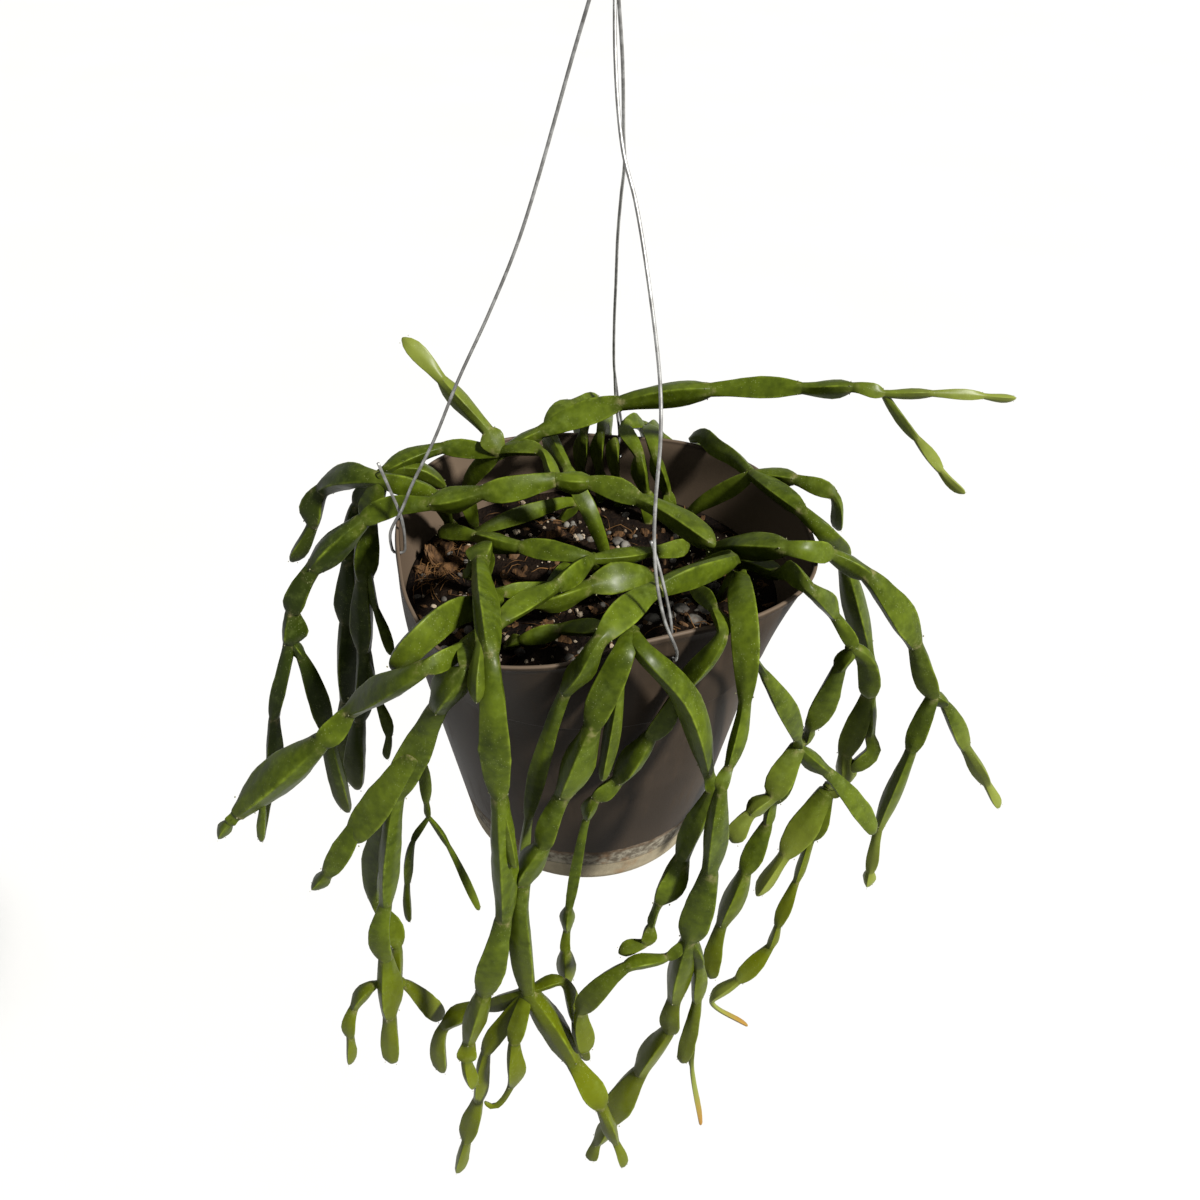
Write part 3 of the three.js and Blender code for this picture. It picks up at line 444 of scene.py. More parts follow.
def make_floor():
    """A level grid of squares far below the stems."""
    steps = np.linspace(-FLOOR_REACH, FLOOR_REACH, FLOOR_LINES)
    x, y = np.meshgrid(steps, steps)
    points = np.stack([x, y, np.full_like(x, FLOOR_LEVEL)], axis=-1).reshape(-1, 3)
    corner = np.arange(FLOOR_LINES**2).reshape(x.shape)[:-1, :-1].ravel()
    quads = np.stack([corner, corner + 1, corner + FLOOR_LINES + 1, corner + FLOOR_LINES], axis=-1)
    finish = make_finish("studio_floor", floor_look)
    floor = put_mesh("studio_floor", points, quads.tolist(), [finish])


def make_light():
    """A wide sun from the upper right front, and an even pale world."""
    sun = bpy.data.lights.new("lamp", "SUN")
    sun.energy = LAMP_STRENGTH
    sun.angle = LAMP_WIDTH
    sun.color = LAMP_COLOUR
    back = unit(LAMP_SIDE)
    side = unit(np.cross([0.0, 0.0, 1.0], back))
    put("lamp", sun).matrix_world = facing(side, np.cross(back, side), back)
    world = bpy.data.worlds.new("surroundings")
    world.use_nodes = True
    shade = world.node_tree.nodes["Background"]
    shade.inputs["Color"].default_value = (*SURROUND_COLOUR, 1.0)
    shade.inputs["Strength"].default_value = SURROUND_STRENGTH
    bpy.context.scene.world = world
    bpy.context.scene.view_settings.view_transform = "Standard"


make_floor()
make_light()

# %% [markdown]
# ## Wires and hook
# Three galvanised wires run from a ferrule below the hook, through holes under the rim, and end in
# short bent tails. They were bent by hand, so their paths are lists of points. Nothing of the hook
# shows in the photograph: it is a plain bent rod. A round section swept along a path makes them all.

# %% Paths of the wires
WIRE_RADIUS = 0.9
WIRE_HOLE_LEVEL = -15
WIRE_SPREAD = 2.6
WIRE_SOCKET = 8
WIRE_SIDES = 12
WIRE_SPACING = 1.6
FERRULE_BOTTOM = 307
HOOK_X = -RIM_CENTRE[0]
# How far outside the wall, and how far above its hole, a wire runs where it passes through.
THROUGH = ((3.1, 4.2), (2.4, 1.1), (1, 0), (-2.8, 0), (-4.2, 1.1), (-4.8, 4.4))
WIRES = {
    "wire_left": (
        math.radians(183.7),
        [
            (-12, 6, 253), (-37.5, 4, 172), (-54, 1, 133.5), (-72.6, -2, 95), (-87.7, -5, 60),
            (-101.8, -8.5, 32.7), (-108.6, -10, 17.3), (-116.6, -10.4, 1.6),
        ],
        [(-110, -6.5, 7.5), (-115.1, -6.5, 27.9), (-120.2, -6.5, 45.5)],
    ),
    "wire_front": (
        math.radians(-66),
        [
            (8, -20, 259), (12, -45, 227), (18, -55, 208), (25, -75, 176), (31, -90, 138),
            (32, -100, 115), (31, -106, 85), (31, -112, 67), (33, -116, 46), (38, -118, 23), (45, -114, 2),
        ],
        [(43.6, -98.5, 3), (37, -95, 33), (31, -91, 52)],
    ),
    "wire_back": (
        math.radians(80.3),
        [
            (12, 20, 251), (14, 35, 213), (15, 40, 199), (14, 48, 181), (13, 60, 155),
            (13, 75, 121), (13, 88, 94), (14, 105, 56), (16, 114, 38), (19.6, 122.4, 12), (21.3, 124.6, 0),
        ],
        [(19, 113.4, 3), (16, 113, 27), (14.6, 110, 48)],
    ),
}

# %% [markdown]
# Zinc on steel wire is a dull grey metal with small darker and whiter patches. Its roughness is high
# and changes along the wire, so it never shines like new steel.

# %% Zinc finish


def zinc_look(start, place):
    """Grey metal: patches from coarse noise, fine specks, roughness from both."""
    bright = start.noise(place, 180.0, 4.0).between(0.35, 0.7)
    speck = start.noise(place, 1500.0, 2.0)
    colour = bright.mix(rgb(104, 103, 101), rgb(150, 150, 148))
    return {
        "Base Color": layers(colour, (speck.between(0.62, 0.72), (96, 92, 86))),
        "Roughness": bright * -0.12 + speck * 0.15 + 0.42,
        "Normal": start.bump(speck, 0.00008, 0.5),
    }


ZINC = make_finish("galvanised_wire", zinc_look, Metallic=0.75)

# %% [markdown]
# ## Pot wall
# The pot is moulded plastic: a tapered wall, an upper collar that stands out by 1.5 mm, a thin bead
# at the rim and a rounded foot. The wires pull the rim out of round, so 18 shares of the radius, as
# read from the photograph's outline, are joined by a smooth cubic. They fade out 80 mm below it.

# %% Measures of the pot and its lobes
RIM_RADIUS = 124.0
BASE_RADIUS = 81.3
POT_HEIGHT = 226.0
WALL = 1.6
FLOOR_THICKNESS = 2.6
BEAD = 0.6
BEAD_HEIGHT = 3.2
COLLAR_HEIGHT = 58.0
COLLAR_STEP = 1.5
COLLAR_SOFTNESS = 1.6
CORNER = 7.0
RIM_SHARES = np.array([
    1.07, 1.06, 1.06, 1.012, 0.945, 0.965, 1.0, 1.035, 0.985,
    0.925, 0.925, 1.01, 1.125, 1.049, 0.905, 0.897, 1.004, 1.086,
])
RIM_REACH = 80.0


def rim_share(azimuth):
    """Smooth cubic through the listed shares, whose slope at each one is that between its neighbours."""
    count = len(RIM_SHARES)
    place = (azimuth / (2 * np.pi) + 1) * count
    step = np.floor(place).astype(int)
    part = place - step
    a, b, c, d = (RIM_SHARES[(step + i) % count] for i in (-1, 0, 1, 2))
    bend = 2 * a - 5 * b + 4 * c - d + part * (3 * (b - c) + d - a)
    return b + 0.5 * part * (c - a + part * bend)


def lobed(azimuth, height):
    """1 + reach squared times (the rim's share - 1), where the reach falls from 1 at the rim to 0."""
    reach = np.clip(1 + height / RIM_REACH, 0, 1)
    return 1 + reach**2 * (rim_share(azimuth) - 1)


def cone_radius(height):
    """Straight from the rim's radius to the base's: rim + (rim - base) times height over the pot's."""
    return RIM_RADIUS + (RIM_RADIUS - BASE_RADIUS) * height / POT_HEIGHT


def outer_radius(height):
    """The cone, less the step below the collar: 1 - edge, where edge is 3 s squared - 2 s cubed."""
    share = np.clip((height + COLLAR_HEIGHT + COLLAR_SOFTNESS / 2) / COLLAR_SOFTNESS, 0, 1)
    edge = share * share * (3 - 2 * share)
    return cone_radius(height) - COLLAR_STEP * (1 - edge)


def inner_radius(height):
    """The outside less the wall's thickness."""
    return outer_radius(height) - WALL


# %% Wires and hook as rods


def beside_hole(azimuth, out):
    """A place this far outside the wall, level with the azimuth's hole: (x, y)."""
    reach = outer_radius(WIRE_HOLE_LEVEL) * lobed(azimuth, WIRE_HOLE_LEVEL) + out
    return reach * math.cos(azimuth), reach * math.sin(azimuth)


def wire_points(azimuth, span, tail):
    """From the ferrule's socket down the span, through the hole in the wall, and up the tail."""
    x = WIRE_SPREAD * math.cos(azimuth) + HOOK_X
    y = WIRE_SPREAD * math.sin(azimuth)
    head = [(x, y, FERRULE_BOTTOM + WIRE_SOCKET - 0.3), (x, y, FERRULE_BOTTOM - 1)]
    through = [(*beside_hole(azimuth, out), WIRE_HOLE_LEVEL + rise) for out, rise in THROUGH]
    return head + span + through + tail


for wire_name, (azimuth, span, tail) in WIRES.items():
    wire_shape = rod(wire_points(azimuth, span, tail), WIRE_RADIUS, WIRE_SIDES, WIRE_SPACING)
    make_piece(wire_name + "_strand", wire_shape, [wire_name], [ZINC])
    print(wire_name, "points:", len(wire_shape[0]))

# %% [markdown]
# The hook's ferrule is a short crimped tube. Its profile is turned round the upright axis like any
# lathe work: a list of radii and heights, times the cosine and sine of the azimuth.

# %% Hook and ferrule
HOOK_ROD = 1.6
HOOK_BEND = 11.0
HOOK_SIDES = 16
HOOK_SPACING = 1.4
FERRULE_RADIUS = 5.0
FERRULE_TOP = 325
FERRULE_ROWS = 40
FERRULE_COLUMNS = 40
FERRULE_ROUNDING = 0.8
CRIMP_PLACE = 5
CRIMP_WIDTH = 1.1
CRIMP_DEPTH = 0.35


def turned(profile, azimuths, centre=(0.0, 0.0), lobes=False):
    """Rings of radius (cos, sin) at each height of the profile, with the rim's lobes if asked."""
    radii, heights = np.asarray(profile, float).T
    factor = lobed(azimuths[None, :], heights[:, None]) if lobes else 1.0
    reach = radii[:, None] * factor
    x = centre[0] + reach * np.cos(azimuths)
    y = centre[1] + reach * np.sin(azimuths)
    return np.stack([x, y, np.broadcast_to(heights[:, None], x.shape)], axis=-1)


def make_hook():
    """A shank that bends into an arc of eleven millimetres, and the ferrule with two crimp grooves."""
    arc = np.radians([180, 150, 120, 90, 60, 30, 0, -25])
    crown = -RIM_CENTRE[2] + HOOK_ROD - HOOK_BEND
    bend = np.stack([HOOK_X + HOOK_BEND * np.cos(arc), 0 * arc, crown + HOOK_BEND * np.sin(arc)], axis=-1)
    shank = [(0, -6), (0, 5), (-4, 12), (-9.5, 21)]
    start = [(HOOK_X + x, 0, FERRULE_TOP + rise) for x, rise in shank]
    bar = rod(np.vstack([start, bend]), HOOK_ROD, HOOK_SIDES, HOOK_SPACING)
    height = np.linspace(FERRULE_BOTTOM, FERRULE_TOP, FERRULE_ROWS)
    ends = np.minimum(height - FERRULE_BOTTOM, FERRULE_TOP - height)
    rounded = np.sqrt(1 - np.clip(1 - ends / FERRULE_ROUNDING, 0, 1) ** 2) * FERRULE_ROUNDING
    low, high = (height - FERRULE_BOTTOM - CRIMP_PLACE), (height - FERRULE_TOP + CRIMP_PLACE)
    crimps = np.exp(-((low / CRIMP_WIDTH) ** 2)) + np.exp(-((high / CRIMP_WIDTH) ** 2))
    profile = np.stack([FERRULE_RADIUS - FERRULE_ROUNDING + rounded - CRIMP_DEPTH * crimps, height], axis=-1)
    rings = turned(profile, even_angles(FERRULE_COLUMNS), (HOOK_X, 0.0))
    sleeve = tube(rings, (HOOK_X, 0, FERRULE_BOTTOM), (HOOK_X, 0, FERRULE_TOP))
    make_piece("hook_rod", stack_tubes([bar, sleeve]), ["hook"], [ZINC])


make_hook()

# %% [markdown]
# The plastic is a warm grey brown, dusty, with faint clouding and water marks that run down. Lime
# from years of watering has left a pale scaly band round the foot, browner at its upper edge, and
# a thin band at the rim's edge is paler. Height says where these lie. The inside is painted paler,
# as painted bounce light in the shade of the wall, and a field that is 1 there and 0 outside says so.

# %% Pot plastic finish
FOOT_BAND_TOP = (RIM_CENTRE[2] - 190) * MM
FOOT_BAND_MIDDLE = (RIM_CENTRE[2] - 205) * MM
RIM_EDGE = (RIM_CENTRE[2] - 1.0) * MM
INSIDE_PAINTED_LIGHT = 0.55


def plastic_look(start, place):
    """Brown plastic, clouded by noise, streaked by noise stretched upright, with a limed foot."""
    height = start.height(place)
    cloud = start.noise(place, 14.0, 5.0)
    streak = start.noise(start.stretched(place, (1.0, 1.0, 0.06)), 130.0, 3.0)
    grain = start.noise(place, 900.0, 4.0)
    dust = streak.between(0.52, 0.75) * 0.35 + grain.between(0.6, 0.8) * 0.2
    ragged = (cloud - 0.5) * 0.010 + (start.noise(place, 70.0, 4.0) - 0.5) * 0.006
    level = height + ragged
    lime = level.between(FOOT_BAND_TOP + 0.0006, FOOT_BAND_TOP - 0.0012)
    spots = start.noise(place, 260.0, 4.0)
    limed = layers(
        spots.between(0.35, 0.65).mix(rgb(70, 64, 54), rgb(108, 103, 91)),
        (level.between(FOOT_BAND_MIDDLE + 0.001, FOOT_BAND_MIDDLE - 0.001), (114, 106, 88)),
        (start.noise(place, 55.0, 3.0).between(0.55, 0.72) * 0.6, (100, 72, 44)),
    )
    brown = cloud.between(0.3, 0.75).mix(rgb(31, 25, 19), rgb(45, 37, 29))
    colour = layers(
        (lime * (spots * 0.5 + 0.6)).mix(layers(brown, (dust * 0.6, (62, 52, 42))), limed),
        (lime * level.between(FOOT_BAND_TOP - 0.005, FOOT_BAND_TOP - 0.001) * 0.7, (60, 44, 30)),
        (start.math("ABSOLUTE", height - FOOT_BAND_MIDDLE).between(0.0009, 0.0002) * 0.5, (46, 42, 37)),
        # Painted bounce light: the inside of the wall is painted paler.
        (start.field("inside") * INSIDE_PAINTED_LIGHT, (80, 68, 56)),
        # A thin band at the rim's edge is painted paler.
        (height.between(RIM_EDGE - 0.0004, RIM_EDGE + 0.0004) * 0.7, (74, 63, 52)),
    )
    bumps = grain * 0.35 + streak * 0.25 + lime * spots * 2.0
    return {
        "Base Color": colour,
        "Roughness": cloud * 0.12 + dust * 0.25 + lime * 0.25 + 0.42,
        "Normal": start.bump(bumps, 0.0003, 0.6),
    }


PLASTIC = make_finish("pot_plastic", plastic_look, Specular_IOR_Level=0.06)

# %% [markdown]
# The wall is one closed profile turned round the axis: up the outside, over the bead and down the
# inside. Small round cutters then open the holes for the wires and the drains, and the cut is applied.

# %% Turn the pot and cut its holes
POT_COLUMNS = 240
DRAIN_COUNT = 4
DRAIN_RADIUS = 4.5
DRAIN_CIRCLE = 52.0
WIRE_HOLE_RADIUS = 1.5
CUTTER_SIDES = 12
CUTTER_SPACING = 4.0
CUP_HEIGHT = 7.4
WALL_ROWS = 60
ARC_ROWS = 12
FLAT_ROWS = 6
POLE_RING = 8


def pot_profile():
    """Radius and height from the middle of the base, round the foot, up, over the rim and down inside.
    The foot is a quarter of an ellipse: centre + wide cos, bottom + tall (1 + sin)."""
    bottom = -POT_HEIGHT
    flat_edge = BASE_RADIUS - COLLAR_STEP - CORNER
    tall = 1.5 * CORNER
    wide = outer_radius(bottom + tall) - flat_edge
    quarter = np.radians(np.linspace(-90, 0, ARC_ROWS))
    flat = np.linspace([POLE_RING, bottom], [flat_edge, bottom], 8)
    foot = np.stack([flat_edge + wide * np.cos(quarter), bottom + tall * (1 + np.sin(quarter))], axis=-1)
    levels = np.concatenate(
        [np.linspace(bottom + tall + 3, -62, 26), np.linspace(-60, -56, 11), np.linspace(-53, -4, 16)]
    )
    outside = np.stack([outer_radius(levels), levels], axis=-1)
    half = np.radians(np.linspace(-79, 79, 7))
    bead = np.stack([RIM_RADIUS + BEAD * np.cos(half) ** 0.5, BEAD_HEIGHT / 2 * (np.sin(half) - 1)], axis=-1)
    inner_lip = inner_radius(0) + np.array([1.0, 0.6, 0.2, 0.0])
    lip = np.stack([inner_lip, [0.0, 0.0, -0.2, -0.7]], axis=-1)
    inside_levels = np.linspace(-3, bottom + 12, WALL_ROWS)
    inside = np.stack([inner_radius(inside_levels), inside_levels], axis=-1)
    floor = bottom + FLOOR_THICKNESS
    cup = np.stack([flat_edge - WALL + CORNER * np.cos(quarter), CUP_HEIGHT * (1 + np.sin(quarter))], axis=-1)
    cup = cup[::-1] + [0, floor]
    flat_inside = np.linspace([flat_edge - 4, floor], [POLE_RING, floor], FLAT_ROWS)
    return np.vstack([flat, foot[1:], outside, bead, lip, inside, cup, flat_inside])


def pot_cutters():
    """Upright rods through the base and level ones through the wall behind each wire."""
    cutters = []
    for angle in even_angles(DRAIN_COUNT):
        x, y = DRAIN_CIRCLE * math.cos(angle), DRAIN_CIRCLE * math.sin(angle)
        ends = [(x, y, -POT_HEIGHT - 6), (x, y, -POT_HEIGHT + 8)]
        cutters.append(rod(ends, DRAIN_RADIUS, CUTTER_SIDES, CUTTER_SPACING))
    for azimuth, _, _ in WIRES.values():
        ends = [(*beside_hole(azimuth, out), WIRE_HOLE_LEVEL) for out in (8, -10)]
        cutters.append(rod(ends, WIRE_HOLE_RADIUS, CUTTER_SIDES, CUTTER_SPACING))
    return stack_tubes(cutters)


def make_pot():
    """Turns the profile, marks the points of its inside, then takes the cutters away from it."""
    profile = pot_profile()
    rings = turned(profile, even_angles(POT_COLUMNS), lobes=True)
    shape = tube(rings, (0, 0, -POT_HEIGHT), (0, 0, -POT_HEIGHT + FLOOR_THICKNESS))
    outer_rows = len(profile) - WALL_ROWS - ARC_ROWS - FLAT_ROWS
    inside = np.repeat(np.arange(len(profile)) >= outer_rows, POT_COLUMNS).astype(float)
    fields = {"inside": np.concatenate([inside, [0.0, 1.0]])}
    pot = make_piece("pot_wall", shape, ["pot"], [PLASTIC], True, fields)
    points, quads, triangles = pot_cutters()
    cutter = put_mesh("pot_cutters", to_frame(points), quads.tolist() + triangles.tolist())
    cut = pot.modifiers.new("holes", "BOOLEAN")
    cut.operation = "DIFFERENCE"
    cut.solver = "EXACT"
    cut.object = cutter
    bpy.context.view_layer.update()
    whole = bpy.data.meshes.new_from_object(pot.evaluated_get(bpy.context.evaluated_depsgraph_get()))
    pot.modifiers.clear()
    pot.data = whole
    bpy.data.objects.remove(cutter)
    print("pot triangles:", sum(len(face.vertices) - 2 for face in whole.polygons))


make_pot()

# %% [markdown]
# ## Soil
# The pot is filled to 42 mm below the rim with a dark, loose mix of bark and peat. Its top is a disc
# of rings, raised by noise of several sizes, and its side follows the wall down to the base. The
# sides are never seen, so they have only a few rings.

# %% Soil surface
SOIL_LEVEL = -42.0
SOIL_GAP = 0.5
SOIL_COLUMNS = 300
SOIL_RINGS = 110


def soil_height(x, y):
    """The level less 0.4 mm, plus waves of 34, 11, 4.5 and 2 mm that grow calm beside the wall."""
    flat = np.stack([x, y, np.zeros_like(x)], axis=-1)
    reach = np.clip(np.hypot(x, y) / inner_radius(SOIL_LEVEL), 0, 1)
    rough = 1.3 * waves(flat, 34, 11) + 0.8 * waves(flat, 11, 12)
    crumbs = 0.5 * np.abs(waves(flat, 4.5, 13)) + 0.35 * np.abs(waves(flat, 2.0, 14))
    return SOIL_LEVEL + (rough + 1.6 * crumbs) * (1 - reach**12) - 0.4


def make_soil(finish):
    """Rings from the base up along the wall, then inwards over the top to a pole in the middle."""
    azimuths = even_angles(SOIL_COLUMNS)
    foot = BASE_RADIUS - COLLAR_STEP
    bottom = -POT_HEIGHT + FLOOR_THICKNESS + 0.35
    profile = [(foot - CORNER - SOIL_GAP, bottom), (foot - WALL - SOIL_GAP, bottom + CUP_HEIGHT)]
    profile += [(inner_radius(z) - SOIL_GAP, z) for z in (-200, -150, -100, -70, -60, -56, SOIL_LEVEL - 0.6)]
    side = turned(profile, azimuths, lobes=True)
    shares = np.linspace(1, 0.01, SOIL_RINGS)
    edge = (inner_radius(SOIL_LEVEL) - SOIL_GAP) * lobed(azimuths, SOIL_LEVEL)
    x = shares[:, None] * edge * np.cos(azimuths)
    y = shares[:, None] * edge * np.sin(azimuths)
    top = np.stack([x, y, soil_height(x, y)], axis=-1)
    centre = (0, 0, float(soil_height(np.zeros(1), np.zeros(1))[0]))
    shape = tube(np.concatenate([side, top]), (0, 0, bottom), centre)
    make_piece("soil_surface", shape, ["soil"], [finish])
    print("soil faces:", len(shape[1]) + len(shape[2]))


# %% [markdown]
# Damp potting mix is nearly black, with browner crumbs and fibres. Colour and bump come from
# the same noises, so that what looks like a crumb is also lit like one.

# %% Soil finish


def soil_look(start, place):
    """Black-brown by noise, with fibres where noise stretched one way is high, and cells as crumbs."""
    fine = start.noise(place, 900.0, 4.0)
    laid = start.stretched(place, (1.0, 0.12, 1.0), (0.0, 0.0, 0.7))
    fibre = start.noise(laid, 700.0, 2.0).between(0.68, 0.74)
    dark = start.noise(place, 60.0, 5.0).between(0.35, 0.7).mix(rgb(6, 3, 2), rgb(17, 10, 5))
    height = start.cells(place, 420.0) * 1.2 + fine * 0.8 + fibre * 0.8
    return {
        "Base Color": layers(dark, (fine.between(0.58, 0.75), (32, 21, 10)), (fibre * 0.7, (48, 33, 18))),
        "Roughness": fine * 0.2 + 0.78,
        "Normal": start.bump(height, 0.0012, 0.8),
    }


make_soil(make_finish("potting_soil", soil_look, Specular_IOR_Level=0.05))

# %% [markdown]
# ## Perlite, grit, bark and fibres
# Perlite, dulled by the soil, grey grit and chips of bark lie in it. Each kind is one piece of many
# small lumps: a ball of a few rings whose points are pushed about at random. All lumps of a kind
# are worked out in one array of shape (lumps, rings, columns, 3).

# %% Lumps scattered over the soil
PERLITE_COUNT = 380
GRIT_COUNT = 110
CHIP_COUNT = 230
# Where the photograph shows the big stones, and the big pieces of bark with their half lengths.
STONES = np.array([[56, -24], [64, -34], [49, -30], [19, 45], [70, -22], [60, -16], [24, 40], [38, -32]])
HUNKS = np.array([
    [-96, 22, 11], [-89, 13, 8], [-102, 30, 6], [-92, 34, 7], [-84, 24, 6], [-30, 46, 8], [-22, 52, 6],
    [-38, 40, 6], [-70, -70, 8], [30, -60, 6], [-104, 12, 6], [-12, 60, 5], [-48, 30, 6], [19, 52, 5],
])


def scattered(count, draw, reach=0.97):
    """Random places spread evenly over the soil: radius as the root of an even draw."""
    azimuth = draw.uniform(0, 2 * np.pi, count)
    radius = np.sqrt(draw.uniform(0, 1, count)) * reach
    radius = radius * (inner_radius(SOIL_LEVEL) - 3) * lobed(azimuth, SOIL_LEVEL)
    return radius * np.cos(azimuth), radius * np.sin(azimuth)


def spun(first, second, angle):
    """Turns two coordinates: first cos - second sin, and first sin + second cos."""
    cosine, sine = np.cos(angle)[:, None], np.sin(angle)[:, None]
    return first * cosine - second * sine, first * sine + second * cosine


def lumps(centres, sizes, draw, rings=3, columns=6, rough=0.22):
    """Balls of the given half sizes (n, 3), each point's radius changed at random and each ball
    turned by an azimuth and a tilt of its own."""
    count = len(centres)
    rise = np.broadcast_to(np.linspace(-0.72, 0.72, rings)[:, None], (rings, columns))
    circle = even_angles(columns)
    flat = np.sqrt(1 - rise**2)
    ball = np.stack([flat * np.cos(circle), flat * np.sin(circle), rise], axis=-1)
    poles = np.array([[0.0, 0, -1], [0, 0, 1]])
    _, quads, triangles = tube(ball, *poles)
    ball = np.vstack([ball.reshape(-1, 3), poles])
    grown = ball[None] * (1 + draw.uniform(-rough, rough, (count, len(ball), 1))) * sizes[:, None, :]
    spin = draw.uniform(0, 2 * np.pi, count)
    tilt = draw.normal(0, 0.45, count)
    x, y, z = grown[..., 0], grown[..., 1], grown[..., 2]
    x, z = spun(x, z, tilt)
    points = np.stack([*spun(x, y, spin), z], axis=-1) + centres[:, None, :]
    shift = (np.arange(count) * len(ball))[:, None, None]
    faces = [(kind[None] + shift).reshape(-1, kind.shape[1]) for kind in (quads, triangles)]
    return points.reshape(-1, 3), *faces


def on_soil(x, y, sunk):
    """Places on the soil's top, let in by the given depth."""
    return np.stack([x, y, soil_height(x, y) - sunk], axis=-1)


def mineral(name, dark, light, stain):
    """Two tones by noise, stained brown where another noise is high, with a pitted bump."""

    def look(start, place):
        """The same recipe in this mineral's own colours."""
        tone = start.noise(place, 110.0, 2.0).between(0.35, 0.65)
        pits = start.noise(place, 1400.0, 3.0)
        stained = start.noise(place, 320.0, 3.0).between(0.52, 0.75) * 0.6
        return {
            "Base Color": layers(tone.mix(rgb(*dark), rgb(*light)), (stained, stain)),
            "Roughness": pits * 0.2 + 0.75,
            "Normal": start.bump(pits, 0.0004, 0.6),
        }

    return make_finish(name, look, Specular_IOR_Level=0.1)


def bark_look(start, place):
    """Brown bark with paler grain along noise that is stretched one way."""
    grain = start.noise(start.stretched(place, (1.0, 0.18, 0.6), (0.2, 0.3, 0.9)), 420.0, 4.0)
    colour = grain.between(0.3, 0.7).mix(rgb(24, 15, 9), rgb(70, 50, 30))
    return {
        "Base Color": layers(colour, (start.noise(place, 70.0, 2.0).between(0.5, 0.8) * 0.5, (84, 66, 48))),
        "Roughness": grain * 0.15 + 0.75,
        "Normal": start.bump(grain, 0.0009, 0.9),
    }


def make_litter():
    """Perlite, grit and bark over the whole top, and the big lumps where the photograph shows them."""
    draw = np.random.default_rng(21)
    x, y = scattered(PERLITE_COUNT, draw)
    sizes = draw.gamma(3.0, 0.34, (PERLITE_COUNT, 1)) * draw.uniform(0.7, 1.2, (PERLITE_COUNT, 3))
    white = lumps(on_soil(x, y, -0.2 * sizes[:, 2]), sizes, draw)
    perlite = mineral("perlite", (66, 56, 44), (124, 113, 97), (50, 34, 20))
    make_piece("perlite", white, (), [perlite], smooth=False)
    x, y = scattered(GRIT_COUNT, draw)
    sizes = draw.uniform(1.6, 3.6, (GRIT_COUNT, 1)) * draw.uniform(0.7, 1.15, (GRIT_COUNT, 3))
    big = len(STONES)
    x[:big], y[:big] = STONES.T
    sizes[:big] = draw.uniform(3.6, 5.2, (big, 1)) * np.array([1.1, 0.9, 0.6])
    grey = lumps(on_soil(x, y, 0.1 * sizes[:, 2]), sizes, draw, 5, 9, 0.07)
    grit = mineral("grit", (42, 40, 37), (82, 79, 73), (56, 43, 31))
    make_piece("grit", grey, (), [grit])
    x, y = scattered(CHIP_COUNT, draw)
    sizes = np.array([3.4, 1.6, 0.8]) * draw.uniform(0.5, 1.6, (CHIP_COUNT, 1))
    sizes = sizes * draw.uniform(0.7, 1.3, (CHIP_COUNT, 3))
    chips = lumps(on_soil(x, y, -0.35 * sizes[:, 2]), sizes, draw, 3, 7, 0.3)
    sizes = HUNKS[:, 2:] * np.array([1.0, 0.55, 0.42])
    hunks = lumps(on_soil(*HUNKS[:, :2].T, -0.5 * sizes[:, 2]), sizes, draw, 7, 12, 0.16)
    bark = make_finish("bark", bark_look, Specular_IOR_Level=0.05)
    make_piece("bark_chips", stack_tubes([chips, hunks]), (), [bark], smooth=False)
    print("lumps:", PERLITE_COUNT + GRIT_COUNT + CHIP_COUNT + len(HUNKS))


make_litter()

# %% [markdown]
# Fibres of bark and dead rootlets lie between the lumps, a third of them about the big piece of bark
# on the left. Each is a thin three-sided tube along a short arc, and all are one array too.

# %% Fibres
FIBRE_COUNT = 260
FIBRES_AT_BARK = 90
FIBRE_STEPS = 7


def fibre_look(start, place):
    """Brown to tan by coarse noise."""
    tone = start.noise(place, 60.0, 2.0)
    colour = tone.between(0.35, 0.65).mix(rgb(38, 24, 13), rgb(84, 60, 34))
    return {"Base Color": colour, "Roughness": tone * 0.2 + 0.7}


